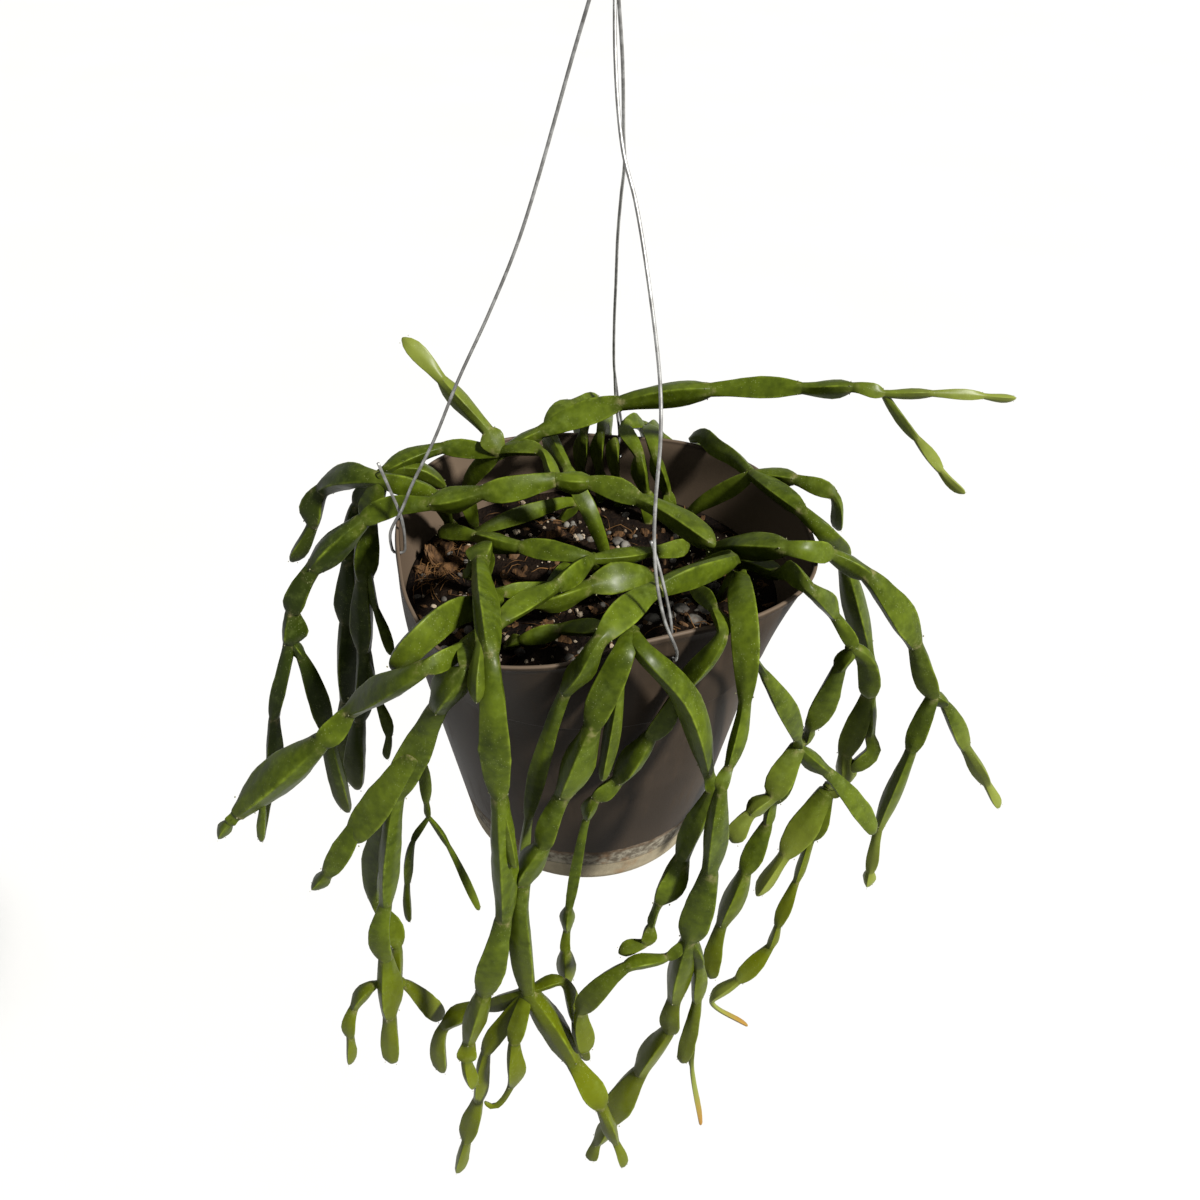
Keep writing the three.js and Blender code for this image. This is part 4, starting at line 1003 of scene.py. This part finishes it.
def make_fibres():
    """Arcs of 8 to 26 mm that start on the soil, bow upwards by a sine and turn as they go."""
    draw = np.random.default_rng(31)
    x, y = scattered(FIBRE_COUNT, draw)
    x[:FIBRES_AT_BARK] = -94 + draw.normal(0, 8, FIBRES_AT_BARK)
    y[:FIBRES_AT_BARK] = 20 + draw.normal(0, 11, FIBRES_AT_BARK)
    length = draw.uniform(8, 26, FIBRE_COUNT)
    heading = draw.uniform(0, 2 * np.pi, FIBRE_COUNT)[:, None]
    heading = heading + np.linspace(0, 1, FIBRE_STEPS) * draw.normal(0, 0.9, FIBRE_COUNT)[:, None]
    step = (length / (FIBRE_STEPS - 1))[:, None]
    run_x = x[:, None] + np.cumsum(np.cos(heading) * step, axis=1)
    run_y = y[:, None] + np.cumsum(np.sin(heading) * step, axis=1)
    inside = 0.97 * (inner_radius(SOIL_LEVEL) - 2) * lobed(np.arctan2(run_y, run_x), SOIL_LEVEL)
    pull = np.minimum(1, inside / np.maximum(np.hypot(run_x, run_y), 1e-6))
    run_x, run_y = run_x * pull, run_y * pull
    bow = np.sin(np.linspace(0, np.pi, FIBRE_STEPS)) * draw.uniform(0.3, 4.5, FIBRE_COUNT)[:, None]
    run_z = soil_height(run_x, run_y) + 0.2 + bow
    thick = draw.uniform(0.18, 0.45, FIBRE_COUNT)[:, None] * np.linspace(1, 0.5, FIBRE_STEPS)
    middles = np.stack([run_x, run_y, run_z], axis=-1)[:, :, None]
    side = np.array([0, 2.1, 4.2])
    spoke = np.stack([
        -np.sin(heading)[..., None] * np.cos(side),
        np.cos(heading)[..., None] * np.cos(side),
        np.broadcast_to(np.sin(side), (FIBRE_COUNT, FIBRE_STEPS, 3)),
    ], axis=-1)
    rings = middles + spoke * thick[:, :, None, None]
    strands = [tube(ring, ring[0].mean(axis=0), ring[-1].mean(axis=0)) for ring in rings]
    finish = make_finish("fibre", fibre_look, Specular_IOR_Level=0.05)
    make_piece("soil_fibres", stack_tubes(strands), (), [finish])


make_fibres()

# %% [markdown]
# ## Routes of the stems
# Each stem is a list of branches, and each branch a list of points in millimetres from the rim's
# centre. A fourth number makes the point a joint: it is the girth of the link that follows, and 0
# ends the branch. A point without one only bends the link it lies on. The first branch stands in
# the soil, and the others start at a joint of a branch before them.

# %% Where every stem runs
STEMS = {
    # Leans on the left of the rim, and throws the long arm across to the right.
    "stem_crown": [
        [(-77, 66, -42, 10), (-80, 64, -14, 11), (-56, 50, 22, 10), (-30, 37, 30, 8), (-21, 12, 26, 0)],
        [
            (-21, 12, 26, 14), (-64, 3, 21, 15), (-94, 2, 14, 12), (-115, 5, 10.5), (-135, 4, 0, 17),
            (-167, -8, -28, 13), (-183, -10, -59, 15), (-188, -12, -82, 9), (-206, -16, -142, 12),
            (-219, -18, -209, 7), (-234, -18, -263, 0),
        ],
        [(-187, -12, -80, 8), (-182, -12, -93, 13), (-174, -14, -155, 12), (-168, -16, -233, 0)],
        [(-21, 12, 26, 13), (-1, 12, 24, 13), (29, 0, 20, 14), (71, -35, 12, 0)],
        [
            (-56, 50, 22, 11), (-93, 54, 22, 11), (-126, 39, 14, 11), (-149, 52, -19, 15),
            (-158, 46, -58, 14), (-165, 42, -107, 16), (-172, 38, -175, 15), (-180, 34, -247, 0),
        ],
        [
            (-56, 50, 22, 10), (-31, 55, 34, 15), (18, 64, 50, 15), (72, 60, 62, 12), (125, 48, 70, 11),
            (152, 38, 76, 8), (170, 35, 74, 6), (199, 36, 74, 6), (230, 38, 72, 5), (250, 40, 70, 0),
        ],
        [(170, 35, 74, 6), (198, 44, 40, 7), (216, 41, 20, 6), (233, 37, 6, 0)],
        [(-56, 50, 22, 14), (-64, 56, 34, 11), (-92, 68, 62, 10), (-115, 76, 85, 0)],
        [(-126, 39, 14, 12), (-109, 44, 11), (-91, 47, -2, 0)],
    ],
    "stem_left": [
        [
            (-87, 47, -42, 10), (-90, 40, -22, 10), (-95, 22, 8, 12), (-126, 21, 18, 16),
            (-169, 48, -6, 15), (-179, 46, -32, 10), (-196, 44, -59, 0),
        ],
        [
            (-126, 21, 18, 14), (-137, 26, -15, 16), (-144, 20, -55, 15), (-149, 16, -110, 14),
            (-158, 12, -170, 15), (-166, 8, -235, 0),
        ],
        [(-141, 22, -41, 6), (-137, 14, -74, 7), (-129, 6, -106, 0)],
        [(-149, 16, -110, 5), (-142, 8, -147, 8), (-137, 4, -178, 6), (-140, 2, -198, 0)],
    ],
    "stem_front_left": [
        [(5, 15, -42, 9), (1, -21, -8, 12), (-41, -10, -8, 12), (-68, 6, -12, 10), (-95, 30, -24, 0)],
        [(1, -21, -8, 10), (36, -4, -14, 10), (62, 16, -22, 0)],
        [(1, -21, -8, 12), (-19, -52, -6, 12), (-47, -87, -4, 11), (-62, -126, 10, 0)],
        [
            (-62, -126, 10, 10), (-79, -142, 10, 15), (-124, -124, -36, 12), (-140, -128, -54, 21),
            (-191, -135, -103, 6), (-197, -136, -110, 8), (-205, -136, -123, 0),
        ],
        [(-177, -134, -97, 5), (-183, -134, -128, 0)],
        [
            (-62, -126, 10, 8), (-59, -142, 10, 17), (-75, -136, -21, 16), (-85, -130, -47),
            (-104, -128, -95, 12), (-111, -129, -133), (-119, -130, -187, 13), (-123, -131, -212),
            (-124, -131, -239, 16), (-127, -132, -301, 12), (-131, -132, -358, 0),
        ],
        [(-92, -132, -59, 16), (-131, -136, -124, 0)],
        [(-124, -134, -106, 12), (-148, -138, -150, 9), (-158, -138, -164, 0)],
        [
            (-125, -131, -268, 6), (-133, -132, -267, 10), (-148, -136, -286, 9),
            (-154, -138, -316, 7), (-158, -138, -350, 0),
        ],
        [(-125, -131, -268, 6), (-117, -124, -277, 12), (-98, -108, -341, 0)],
        [
            (-104, -128, -95, 11), (-127, -114, -168), (-130, -112, -210, 11), (-123, -114, -229),
            (-120, -116, -248, 11), (-123, -118, -287, 0),
        ],
        [(-91, -127, -56, 5), (-92, -112, -81, 7), (-93, -106, -124, 4), (-93, -104, -139, 0)],
        [(-93, -104, -139, 4), (-104, -104, -161, 6), (-111, -104, -201, 5), (-113, -104, -239, 0)],
        [(-93, -104, -139, 4), (-83, -103, -166, 5), (-67, -104, -226, 0)],
    ],
    "stem_front": [
        [(-46, -62, -42, 8), (-37, -75, -26, 10), (-15, -75, -18, 10), (8, -83, -11, 10), (22, -114, 10, 0)],
        [
            (22, -114, 10, 14), (19, -127, 9), (3, -137, -32, 16), (-12, -140, -80, 12),
            (-23, -142, -118, 15), (-35, -142, -150, 14), (-34, -144, -254, 0),
        ],
        [(22, -114, 10, 5), (20, -124, 7), (17, -126, -11, 9), (9, -135, -74, 0)],
        [
            (22, -114, 10, 14), (28, -126, 9), (51, -129, -19), (67, -126, -76, 8),
            (70, -126, -90, 12), (57, -128, -143, 16), (45, -134, -177, 5), (41, -136, -197, 9),
            (38, -138, -211, 9), (22, -140, -219, 0),
        ],
        [
            (-34, -144, -254, 11), (-63, -146, -320, 10), (-71, -146, -380, 13),
            (-82, -146, -436, 9), (-91, -146, -483, 0),
        ],
        [
            (-34, -144, -254, 17), (-5, -152, -320, 15), (14, -160, -361, 10),
            (25, -162, -405, 7), (32, -162, -439, 0),
        ],
        [
            (-34, -144, -254, 11), (-43, -156, -292, 12), (-46, -158, -339, 4), (-59, -158, -366),
            (-65, -158, -361, 0),
        ],
        [(-34, -144, -254, 8), (-13, -140, -249, 9), (-4, -138, -294, 9), (4, -136, -345, 0)],
        [(-34, -144, -254, 10), (-65, -130, -293, 13), (-92, -128, -319, 11), (-98, -128, -376, 0)],
    ],
    "stem_low_middle": [
        [(40, -2, -42, 10), (36, -11, -28, 17), (0, -30, -22, 15), (-30, -46, -22, 9), (-44, -42, -26, 0)],
    ],
    "stem_low_left": [
        [
            (-11, 10, -42, 8), (-12, 7, -34), (-24, -20, -28, 9), (-51, -39, -20, 10), (-56, -70, -8, 15),
            (-72, -105, 14), (-87, -123, 10), (-99, -123, -8, 0),
        ],
    ],
    "stem_low_back": [
        [(-19, 73, -42, 8), (-11, 70, -26, 10), (-70, 31, -24, 6), (-78, 34, -33, 0)],
    ],
    "stem_over_back": [
        [
            (11, 31, -42, 10), (1, 32, -14), (-15, 53, 10, 11), (-27, 86, 22, 14),
            (-12, 108, 26, 13), (4, 130, 17, 10), (15, 146, 6, 0),
        ],
    ],
    "stem_front_long": [
        [
            (-68, -7, -42, 10), (-60, -28, 2, 14), (-60, -53, 10, 13), (-47, -142, 18, 15),
            (-45, -150, -70, 14), (-46, -152, -170, 16), (-60, -154, -240, 14),
            (-72, -156, -292, 12), (-74, -160, -306, 9), (-70, -164, -333, 0),
        ],
        [(-60, -28, 2, 11), (-67, -44, -2, 10), (-71, -46, -5, 0)],
        [(-45, -150, -70, 6), (-38, -156, -121, 0)],
        [(-60, -53, 10, 8), (-52, -136, 20, 9), (-53, -151, 11), (-53, -156, 0, 0)],
    ],
    "stem_loop": [
        [
            (63, 17, -42, 10), (79, -49, 12, 13), (35, -91, 22, 14), (6, -131, 20, 12),
            (-2, -136, 6), (-11, -130, -15, 10), (-32, -124, -116, 6), (-37, -122, -155, 0),
        ],
    ],
    "stem_thin": [
        [
            (69, 7, -42, 7), (61, -35, -17, 9), (67, -89, 7, 8), (69, -109, 7, 11),
            (50, -113, -27, 11), (35, -116, -59, 14), (18, -116, -93, 10), (6, -118, -106, 9),
            (1, -118, -122, 6), (-9, -120, -202, 9), (-10, -120, -223, 6), (-11, -119, -247, 12),
            (-10, -118, -285, 0),
        ],
    ],
    "stem_front_right": [
        [
            (81, -11, -42, 9), (84, -46, -2, 14), (81, -97, 13), (82, -115, 2), (82, -124, -25, 9),
            (76, -136, -61, 7), (72, -144, -70, 13), (71, -144, -135, 17), (64, -143, -199, 15),
            (59, -142, -264, 13), (58, -140, -301, 14), (41, -140, -352, 19), (23, -138, -420, 13),
            (13, -138, -452, 9), (8, -138, -479, 0),
        ],
        [
            (64, -143, -199, 7), (51, -146, -214, 9), (26, -154, -213, 13), (0, -152, -261, 12),
            (3, -150, -312, 0),
        ],
        [(64, -143, -199, 10), (72, -140, -230, 10), (74, -138, -270, 10), (69, -138, -343, 0)],
        [(74, -138, -270, 5), (76, -138, -348, 4), (88, -138, -426, 0)],
        [(83, -115, 2, 3), (95, -100, -26, 12), (124, -80, -92, 6), (128, -71, -109, 0)],
        [
            (128, -71, -109, 15), (118, -74, -153, 7), (116, -76, -171, 13),
            (105, -82, -211, 14), (93, -90, -256, 12), (89, -96, -308, 0),
        ],
        [
            (128, -71, -109, 15), (118, -80, -127), (114, -84, -139, 11), (101, -90, -148, 12),
            (91, -96, -167, 0),
        ],
        [(128, -71, -109, 11), (148, -70, -130, 12), (190, -64, -193, 0)],
    ],
    "stem_right_short": [
        [
            (94, -2, -42, 7), (92, -1, -25, 10), (109, -37, -5, 11), (113, -56, 9), (118, -74, 12, 11),
            (138, -63, -15, 8), (151, -65, -36, 9), (146, -64, -52, 14), (137, -58, -105, 8),
            (136, -55, -122, 0),
        ],
        [(151, -65, -36, 12), (159, -64, -42), (166, -62, -58), (168, -60, -78, 0)],
    ],
    "stem_right": [
        [
            (80, 46, -42, 10), (78, 0, -13, 16), (112, -36, 12, 12), (124, -37, 12),
            (139, -28, 3, 11), (162, -28, -11, 17), (200, -29, -62, 13), (219, -30, -102, 0),
        ],
        [
            (219, -30, -102, 12), (213, -32, -148, 11), (203, -36, -221, 8), (204, -38, -263, 9),
            (205, -38, -279, 0),
        ],
        [
            (219, -30, -102, 9), (228, -28, -111, 11), (251, -26, -151, 10), (274, -24, -187, 7),
            (288, -24, -210, 0),
        ],
    ],
    "stem_right_back": [
        [(66, 61, -42, 11), (66, 57, -24, 11), (100, 42, 14, 0)],
        [(100, 42, 14, 11), (125, 30, 18, 10), (147, 19, 14, 8), (156, 27, -16, 0)],
        [
            (100, 42, 14, 12), (124, -5, 17, 12), (136, -14, 10), (158, 8, -27, 15), (182, 4, -93, 12),
            (189, 2, -128, 11), (195, 0, -165, 11), (199, -2, -179), (184, -6, -195, 0),
        ],
        [
            (100, 42, 14, 11), (92, 69, 11), (84, 84, 9), (77, 99, 9), (70, 114, -1, 10),
            (80, 138, -20, 8), (82, 150, -62, 7), (88, 150, -104, 7), (84, 148, -146, 0),
        ],
        [(189, 2, -128, 15), (180, -2, -184, 14), (181, -6, -207, 10), (171, -8, -214, 0)],
        [(171, -8, -214, 20), (146, -20, -268, 11), (127, -34, -297, 0)],
        [
            (171, -8, -214, 17), (164, -14, -256, 7), (158, -20, -297, 10), (149, -26, -342, 7),
            (145, -28, -366, 13), (123, -34, -401, 10), (104, -38, -423, 4), (138, -30, -471, 0),
        ],
    ],
    "stem_back_1": [
        [
            (-4, 99, -42, 10), (-7, 102, -20, 10), (-5, 85, 18, 9), (-5, 128, 8, 11), (-8, 151, -22, 7),
            (-14, 157, -70, 7), (-10, 158, -116, 7), (-16, 158, -158, 6), (-12, 156, -190, 0),
        ],
    ],
    "stem_back_2": [
        [
            (7, 100, -42, 9), (6, 96, -16, 9), (6, 82, 20, 8), (10, 127, 8, 10),
            (12, 150, -16, 6), (17, 158, -58, 7), (14, 160, -98, 0),
        ],
    ],
    "stem_back_3": [
        [(19, 93, -42, 9), (17, 89, -16, 9), (15, 79, 18, 0)],
    ],
    "stem_back_4": [
        [
            (39, 75, -42, 11), (36, 74, -18, 11), (31, 71, 10, 10), (22, 98, 15, 11), (33, 124, 4, 11),
            (40, 148, -22, 8), (44, 156, -68, 7), (40, 158, -112, 8), (46, 158, -150, 6), (42, 156, -182, 0),
        ],
    ],
    "stem_back_5": [
        [
            (55, 75, -42, 9), (51, 79, -22, 10), (41, 68, 12, 10), (39, 108, 10, 9),
            (48, 132, -8, 9), (66, 148, -34, 0),
        ],
    ],
}
print("links:", sum(len([p for p in branch if len(p) > 3]) - 1 for stem in STEMS.values() for branch in stem))

# %% [markdown]
# ## The skin of a link
# Cut across, a link is a triangle with thin rounded corners, the keels. A flat face at distance 1
# from the middle lies at 1 / cos of the angle from its own centre, so that `1 / cos - 1` is the
# shape of a full keel, of which 0.72 is used. Along the link the keel rises slowly from the joint,
# is highest past the middle and ends in a quick round shoulder, where the next link's keels already
# start between. The whole section is turned by 25 degrees, as the photograph shows the keels.

# %% Shape of a section
LEAD = 0.14
KEEL_PEAK = 1.9
KEEL_SHOULDER = 0.75
KEEL_LIMIT = 0.95
KEEL_ROUNDING = 9
CREST_SHARE = 0.72
FACE = 0.39
JOINT = 0.31
SWELL_POWER = 0.8
RIB_TURN = math.radians(25)
SECTOR = np.array([0, 3.5, 8, 15, 30, 45, 52, 56.5])
ANGLES = np.radians((SECTOR[None, :] + 60 * np.arange(6)[:, None]).ravel())
THIRD = 2 * np.pi / 3


def from_keel(angles, odd):
    """Angle to the nearest keel of an even or odd link, from 0 to 60 degrees."""
    shifted = angles + (np.pi / 3 if odd else 0.0)
    return np.abs((shifted + THIRD / 2) % THIRD - THIRD / 2)


def crest(angles, odd):
    """1 / cos of the angle from the face's centre, less 1, held under a limit by the sum of their
    inverse ninth powers, which rounds the corner."""
    sharp = 1 / np.cos(np.pi / 3 - from_keel(angles, odd)) - 1
    return (np.maximum(sharp, 1e-3) ** -KEEL_ROUNDING + KEEL_LIMIT**-KEEL_ROUNDING) ** (-1 / KEEL_ROUNDING)


def keel_height(u):
    """Sine of pi times (u with the lead, as a share, to the power 1.9), to the power 0.75."""
    share = np.clip((u + LEAD) / (1 + LEAD), 0, 1)
    return np.sin(np.pi * share**KEEL_PEAK) ** KEEL_SHOULDER


# %% [markdown]
# ## A branch
# All rings of a branch are worked out together. Each ring knows its link, how far along the link it
# lies, and how high the keels of its own and of the next link are there. Two small sums of waves
# keep the keels from being too even, and a slight bow moves each link's middle to one side.

# %% Rings of a branch
RING_SPACING = 3.6
FEWEST_RINGS = 9
MOST_RINGS = 22
TIP_ROUNDING = 0.75
TIP_CLOSED = 0.985
TIP_POINT = 0.05
YOUNG_REACH = 120.0
ROOT_DEPTHS = (14.0, 5.0)
# Widths of a fork's two hidden rings and how far back they lie, as shares of the first ring's.
PLUG = ((0.8, 0.92), (math.sqrt(1 - 0.92**2), 0.6))
BOW = 0.09
# Shares of the radius by which the skin is uneven, and the length of each unevenness.
UNEVEN = ((0.035, 14.0), (0.02, 6.0))
KEEL_WIDTH = 0.13
JOINT_REACH = 0.3


def link_rows(joint_lengths, last_link):
    """Length, link number and share of the link for every ring, denser next to the joints."""
    rows = []
    for link, (start, end) in enumerate(zip(joint_lengths[:-1], joint_lengths[1:])):
        count = int(np.clip(round((end - start) / RING_SPACING), FEWEST_RINGS, MOST_RINGS))
        share = (1 - np.cos(np.pi * np.arange(count) / count)) / 2
        rows.append(np.stack([start + share * (end - start), np.full(count, float(link)), share], axis=-1))
    rows.append(np.array([[joint_lengths[-1], last_link, 1.0]]))
    lengths, link, share = np.concatenate(rows).T
    return lengths, link.astype(int), share


def core_radius(girths, link, share, swell):
    """Half the way between two girths at a joint, swelling to the face's distance in the middle."""
    beside = np.concatenate([girths[:1], girths])
    joint_girths = np.concatenate([(girths + beside[:-1]) / 2, girths[-1:]])
    joint_radius = JOINT * (joint_girths[link] * (1 - share) + joint_girths[link + 1] * share)
    return joint_radius + (FACE * girths[link] - joint_radius) * swell


def keel_heights(link, share, spans):
    """Heights of the keels of even and odd links: a ring's own, and those of the link to come."""
    last_link = len(spans) - 1
    following = np.minimum(link + 1, last_link)
    lead_in = (share - 1) * spans[link] / spans[following]
    own = keel_height(share)
    coming = np.where(link < last_link, keel_height(np.maximum(lead_in, -LEAD)), 0)
    odd = link % 2 == 1
    return np.where(odd, coming, own)[:, None], np.where(odd, own, coming)[:, None]


def close_ends(rings, path, core, rooted, is_fork):
    """Adds a foot in the soil, or a plug in the joint, before the first ring, and both poles."""
    first, last = path.centres[0], path.centres[-1]
    if rooted:
        start = [rings[0] - [0, 0, depth] for depth in ROOT_DEPTHS]
        before = first - np.array([0, 0, ROOT_DEPTHS[0]])
    else:
        back = path.headings[0] * core[0]
        start = [first + (rings[0] - first) * wide - back * out for wide, out in PLUG]
        before = first - back
    after = last + path.headings[-1] * (core[-1] if is_fork else TIP_POINT)
    return tube(np.concatenate([np.stack(start), rings]), before, after)


def grow_branch(route, rooted, forks, seed, youth_at_tip):
    """One closed tube for a branch, with fields for its colour and the places of its areoles."""
    path = Path([point[:3] for point in route])
    joints = [i for i, point in enumerate(route) if len(point) > 3]
    girths = np.array([route[i][3] for i in joints[:-1]], float)
    draw = np.random.default_rng(seed)
    joint_lengths = path.lengths[np.array(joints) * SAMPLES]
    spans = np.diff(joint_lengths)
    lengths, link, share = link_rows(joint_lengths, len(girths) - 1.0)
    swell = np.sin(np.pi * share) ** SWELL_POWER
    core = core_radius(girths, link, share, swell)
    left = lengths[-1] - lengths
    is_fork = tuple(route[-1][:3]) in forks
    if not is_fork:
        into_cap = np.clip(1 - left / (TIP_ROUNDING * girths[-1]), 0, 1)
        core = core * np.sqrt(1 - (TIP_CLOSED * into_cap) ** 2)
    angles = ANGLES[None, :]
    even, odd = keel_heights(link, share, spans)
    radii = (1 + CREST_SHARE * (even * crest(angles, False) + odd * crest(angles, True))) * core[:, None]
    rings = rings_along(path, lengths, radii, ANGLES + RIB_TURN)
    uneven = sum(part * waves(rings, long, seed + i) for i, (part, long) in enumerate(UNEVEN, 1))
    rings = rings_along(path, lengths, radii * (1 + uneven), ANGLES + RIB_TURN)
    _, _, across, aside = path.at(lengths)
    bow = draw.uniform(-BOW, BOW, (len(girths), 2))[link] * girths[link][:, None] * swell[:, None]
    rings = rings + (across * bow[:, :1] + aside * bow[:, 1:])[:, None, :]
    edge = even * np.exp(-((from_keel(angles, False) / KEEL_WIDTH) ** 2))
    edge = edge + odd * np.exp(-((from_keel(angles, True) / KEEL_WIDTH) ** 2))
    to_joint = np.minimum(share, 1 - share) * spans[link] / girths[link]
    fields = {
        "keel": np.clip(edge, 0, 1),
        "joint": np.exp(-((to_joint / JOINT_REACH) ** 2))[:, None],
        "youth": (youth_at_tip * np.clip(1 - left / YOUNG_REACH, 0, 1))[:, None],
    }
    for key, value in fields.items():
        value = np.broadcast_to(value, edge.shape)
        columns = [value[0], value[0], value.ravel(), value[0, :1], value[-1, :1]]
        fields[key] = np.concatenate(columns)
    shape = close_ends(rings, path, core, rooted, is_fork)
    return shape, fields, areole_places(path, joint_lengths, girths, spans)


# %% [markdown]
# At the end of every keel sits an areole, a tiny tuft of wool. Each is a small lump of a dozen
# faces, let into the shoulder of the keel, so it stands lower than the keel's full height.

# %% Areoles
AREOLE_SHARE = 0.955
AREOLE_RISE = 0.58
AREOLE_GIRTH = 0.036
AREOLE_SIZES = (0.25, 0.6)


def areole_places(path, joint_lengths, girths, spans):
    """Three places to a link, on its keels near their far end: centre + spoke times the radius."""
    links = np.arange(len(girths))
    lengths = joint_lengths[:-1] + AREOLE_SHARE * spans
    core = JOINT * girths + (FACE - JOINT) * girths * np.sin(np.pi * AREOLE_SHARE) ** SWELL_POWER
    radius = core * (1 + AREOLE_RISE * keel_height(np.full(len(girths), AREOLE_SHARE)))
    centre, _, across, aside = path.at(lengths)
    angle = RIB_TURN + np.arange(3)[None, :] * THIRD - (links % 2)[:, None] * np.pi / 3
    spoke = across[:, None] * np.cos(angle)[..., None] + aside[:, None] * np.sin(angle)[..., None]
    places = centre[:, None] + spoke * radius[:, None, None]
    return places.reshape(-1, 3), np.repeat(np.clip(girths * AREOLE_GIRTH, *AREOLE_SIZES), 3)


# %% [markdown]
# ## Skin finish
# The skin is a waxy mid green. The thin keels let light through and look yellower and paler, joints
# are darker and browner, young thin tips run from yellow green to orange tan, and the faces carry a
# faint paler bloom and pale specks. The strands at the far left, behind the front ones, are painted
# darker as painted shade, and the lower ends yellower. The fields worked out with the shape say where
# most of that lies, so the colour follows every bend.

# %% Colours of the skin
LOW_START = (RIM_CENTRE[2] - 170) * MM
LOW_END = (RIM_CENTRE[2] - 330) * MM
YOUTH = {
    ("stem_crown", 5): 0.5,
    ("stem_crown", 6): 0.5,
    ("stem_crown", 7): 0.4,
    ("stem_front_right", 3): 1.0,
    ("stem_front_right", 6): 0.3,
    ("stem_right", 1): 0.45,
    ("stem_right", 2): 0.5,
    ("stem_right_back", 4): 0.3,
    ("stem_right_back", 5): 0.4,
    ("stem_right_back", 6): 1.0,
}
YOUTH_ELSEWHERE = 0.1
# Where the strands at the far left and back are painted darker as painted shade, and by how much.
SHADE_X, SHADE_X_SLOPE = -128, 30
SHADE_Y, SHADE_Y_SLOPE = -70, 40
PAINTED_SHADE_TONE = -0.9


def painted_shade_at(points):
    """Painted shade on a strand: those at the far left, behind the front ones, lie in the others'
    shade and are painted darker, by a product of two slopes that each run from 0 to 1."""
    leftward = np.clip((SHADE_X - points[:, 0]) / SHADE_X_SLOPE, 0, 1)
    backward = np.clip((points[:, 1] - SHADE_Y) / SHADE_Y_SLOPE, 0, 1)
    return PAINTED_SHADE_TONE * leftward * backward


def skin_look(start, place):
    """Green by noise and by the tone field's painted shade, yellower low down, paler by keel, darker by
    joint, and tan by youth.
    """
    keel, joint, youth, tone = (start.field(name) for name in ("keel", "joint", "youth", "tone"))
    cloud = start.noise(place, 32.0, 4.0)
    mottle = start.noise(place, 190.0, 4.0)
    # The tone field adds painted shade: strands at the far left and back come out darker.
    depth = (cloud - 0.5) * 1.5 + (mottle - 0.5) * 1.1 + tone
    corky = (joint * mottle.between(0.5, 0.72)) * 0.55
    bloom = (start.noise(place, 75.0, 5.0, 0.7).between(0.5, 0.78)) * (1 - keel * 0.8) * 0.3
    speck = start.cells(place, 700.0).between(0.2, 0.1) * start.noise(place, 90.0).between(0.44, 0.6)
    colour = layers(
        depth.between(-0.75, 0.85).mix(rgb(25, 33, 3), rgb(63, 74, 11)),
        (start.height(place).between(LOW_START, LOW_END) * 0.75, (64, 69, 1)),
        ((keel**2.0) * mottle.between(0.25, 0.7) * 0.7, (88, 100, 28)),
        (joint * 0.35, (38, 43, 12)),
        (corky, (96, 88, 62)),
        (youth.between(0.0, 0.55) * 0.85, (90, 96, 40)),
        (youth.between(0.55, 1.0) * 0.9, (112, 78, 30)),
        (bloom, (82, 94, 42)),
        (speck * 0.45, (116, 122, 84)),
    )
    heights = mottle * 0.5 + start.noise(place, 1100.0, 3.0) * 0.12 + corky * 0.6
    return {
        "Base Color": colour,
        "Roughness": 0.34 + mottle * 0.14 + bloom * 0.5 + joint * 0.1,
        "Normal": start.bump(heights, 0.0007, 0.5),
    }


def wool_look(start, place):
    """Dull green to straw-coloured wool."""
    tuft = start.noise(place, 2600.0, 2.0)
    colour = tuft.between(0.4, 0.7).mix(rgb(70, 70, 42), rgb(104, 104, 78))
    return {"Base Color": colour, "Roughness": tuft * 0.1 + 0.85}


SKIN = make_finish("cactus_skin", skin_look, Coat_Weight=0.03, Coat_Roughness=0.25, Specular_IOR_Level=0.05)
WOOL = make_finish("areole_wool", wool_look)

# %% [markdown]
# ## Growing all stems
# Every stem becomes one mesh: the tubes of its branches, which run into each other at the joints
# where they fork, and then its areoles with the second finish.

# %% Grow


def grow_stem(name, branches, number):
    """Lays the tubes of a stem's branches end to end, adds its areoles and counts its triangles."""
    forks = {tuple(branch[0][:3]) for branch in branches}
    tubes, fields, areoles = zip(*(
        grow_branch(branch, i == 0, forks, 1000 * number + 10 * i, YOUTH.get((name, i), YOUTH_ELSEWHERE))
        for i, branch in enumerate(branches)
    ))
    skin = stack_tubes(tubes)
    places, sizes = (np.concatenate(part) for part in zip(*areoles))
    draw = np.random.default_rng(number)
    wool = lumps(places, sizes[:, None] * np.ones(3), draw, 2, 4, 0.1)
    shape = stack_tubes([skin, wool])
    bare = np.zeros(len(wool[0]))
    values = {key: np.concatenate([*(field[key] for field in fields), bare]) for key in fields[0]}
    # The tone field is painted shade on the strands at the far left and back.
    values["tone"] = painted_shade_at(shape[0])
    second = np.concatenate([np.repeat([0, 1], [len(skin[kind]), len(wool[kind])]) for kind in (1, 2)])
    make_piece(name + "_skin", shape, [name], [SKIN, WOOL], True, values, second)
    return 2 * len(shape[1]) + len(shape[2])


total = 0
for number, (stem_name, branches) in enumerate(STEMS.items(), 1):
    triangles = grow_stem(stem_name, branches, number)
    total += triangles
    print(stem_name, "branches:", len(branches), "triangles:", triangles)
print("all stems:", total, "triangles")
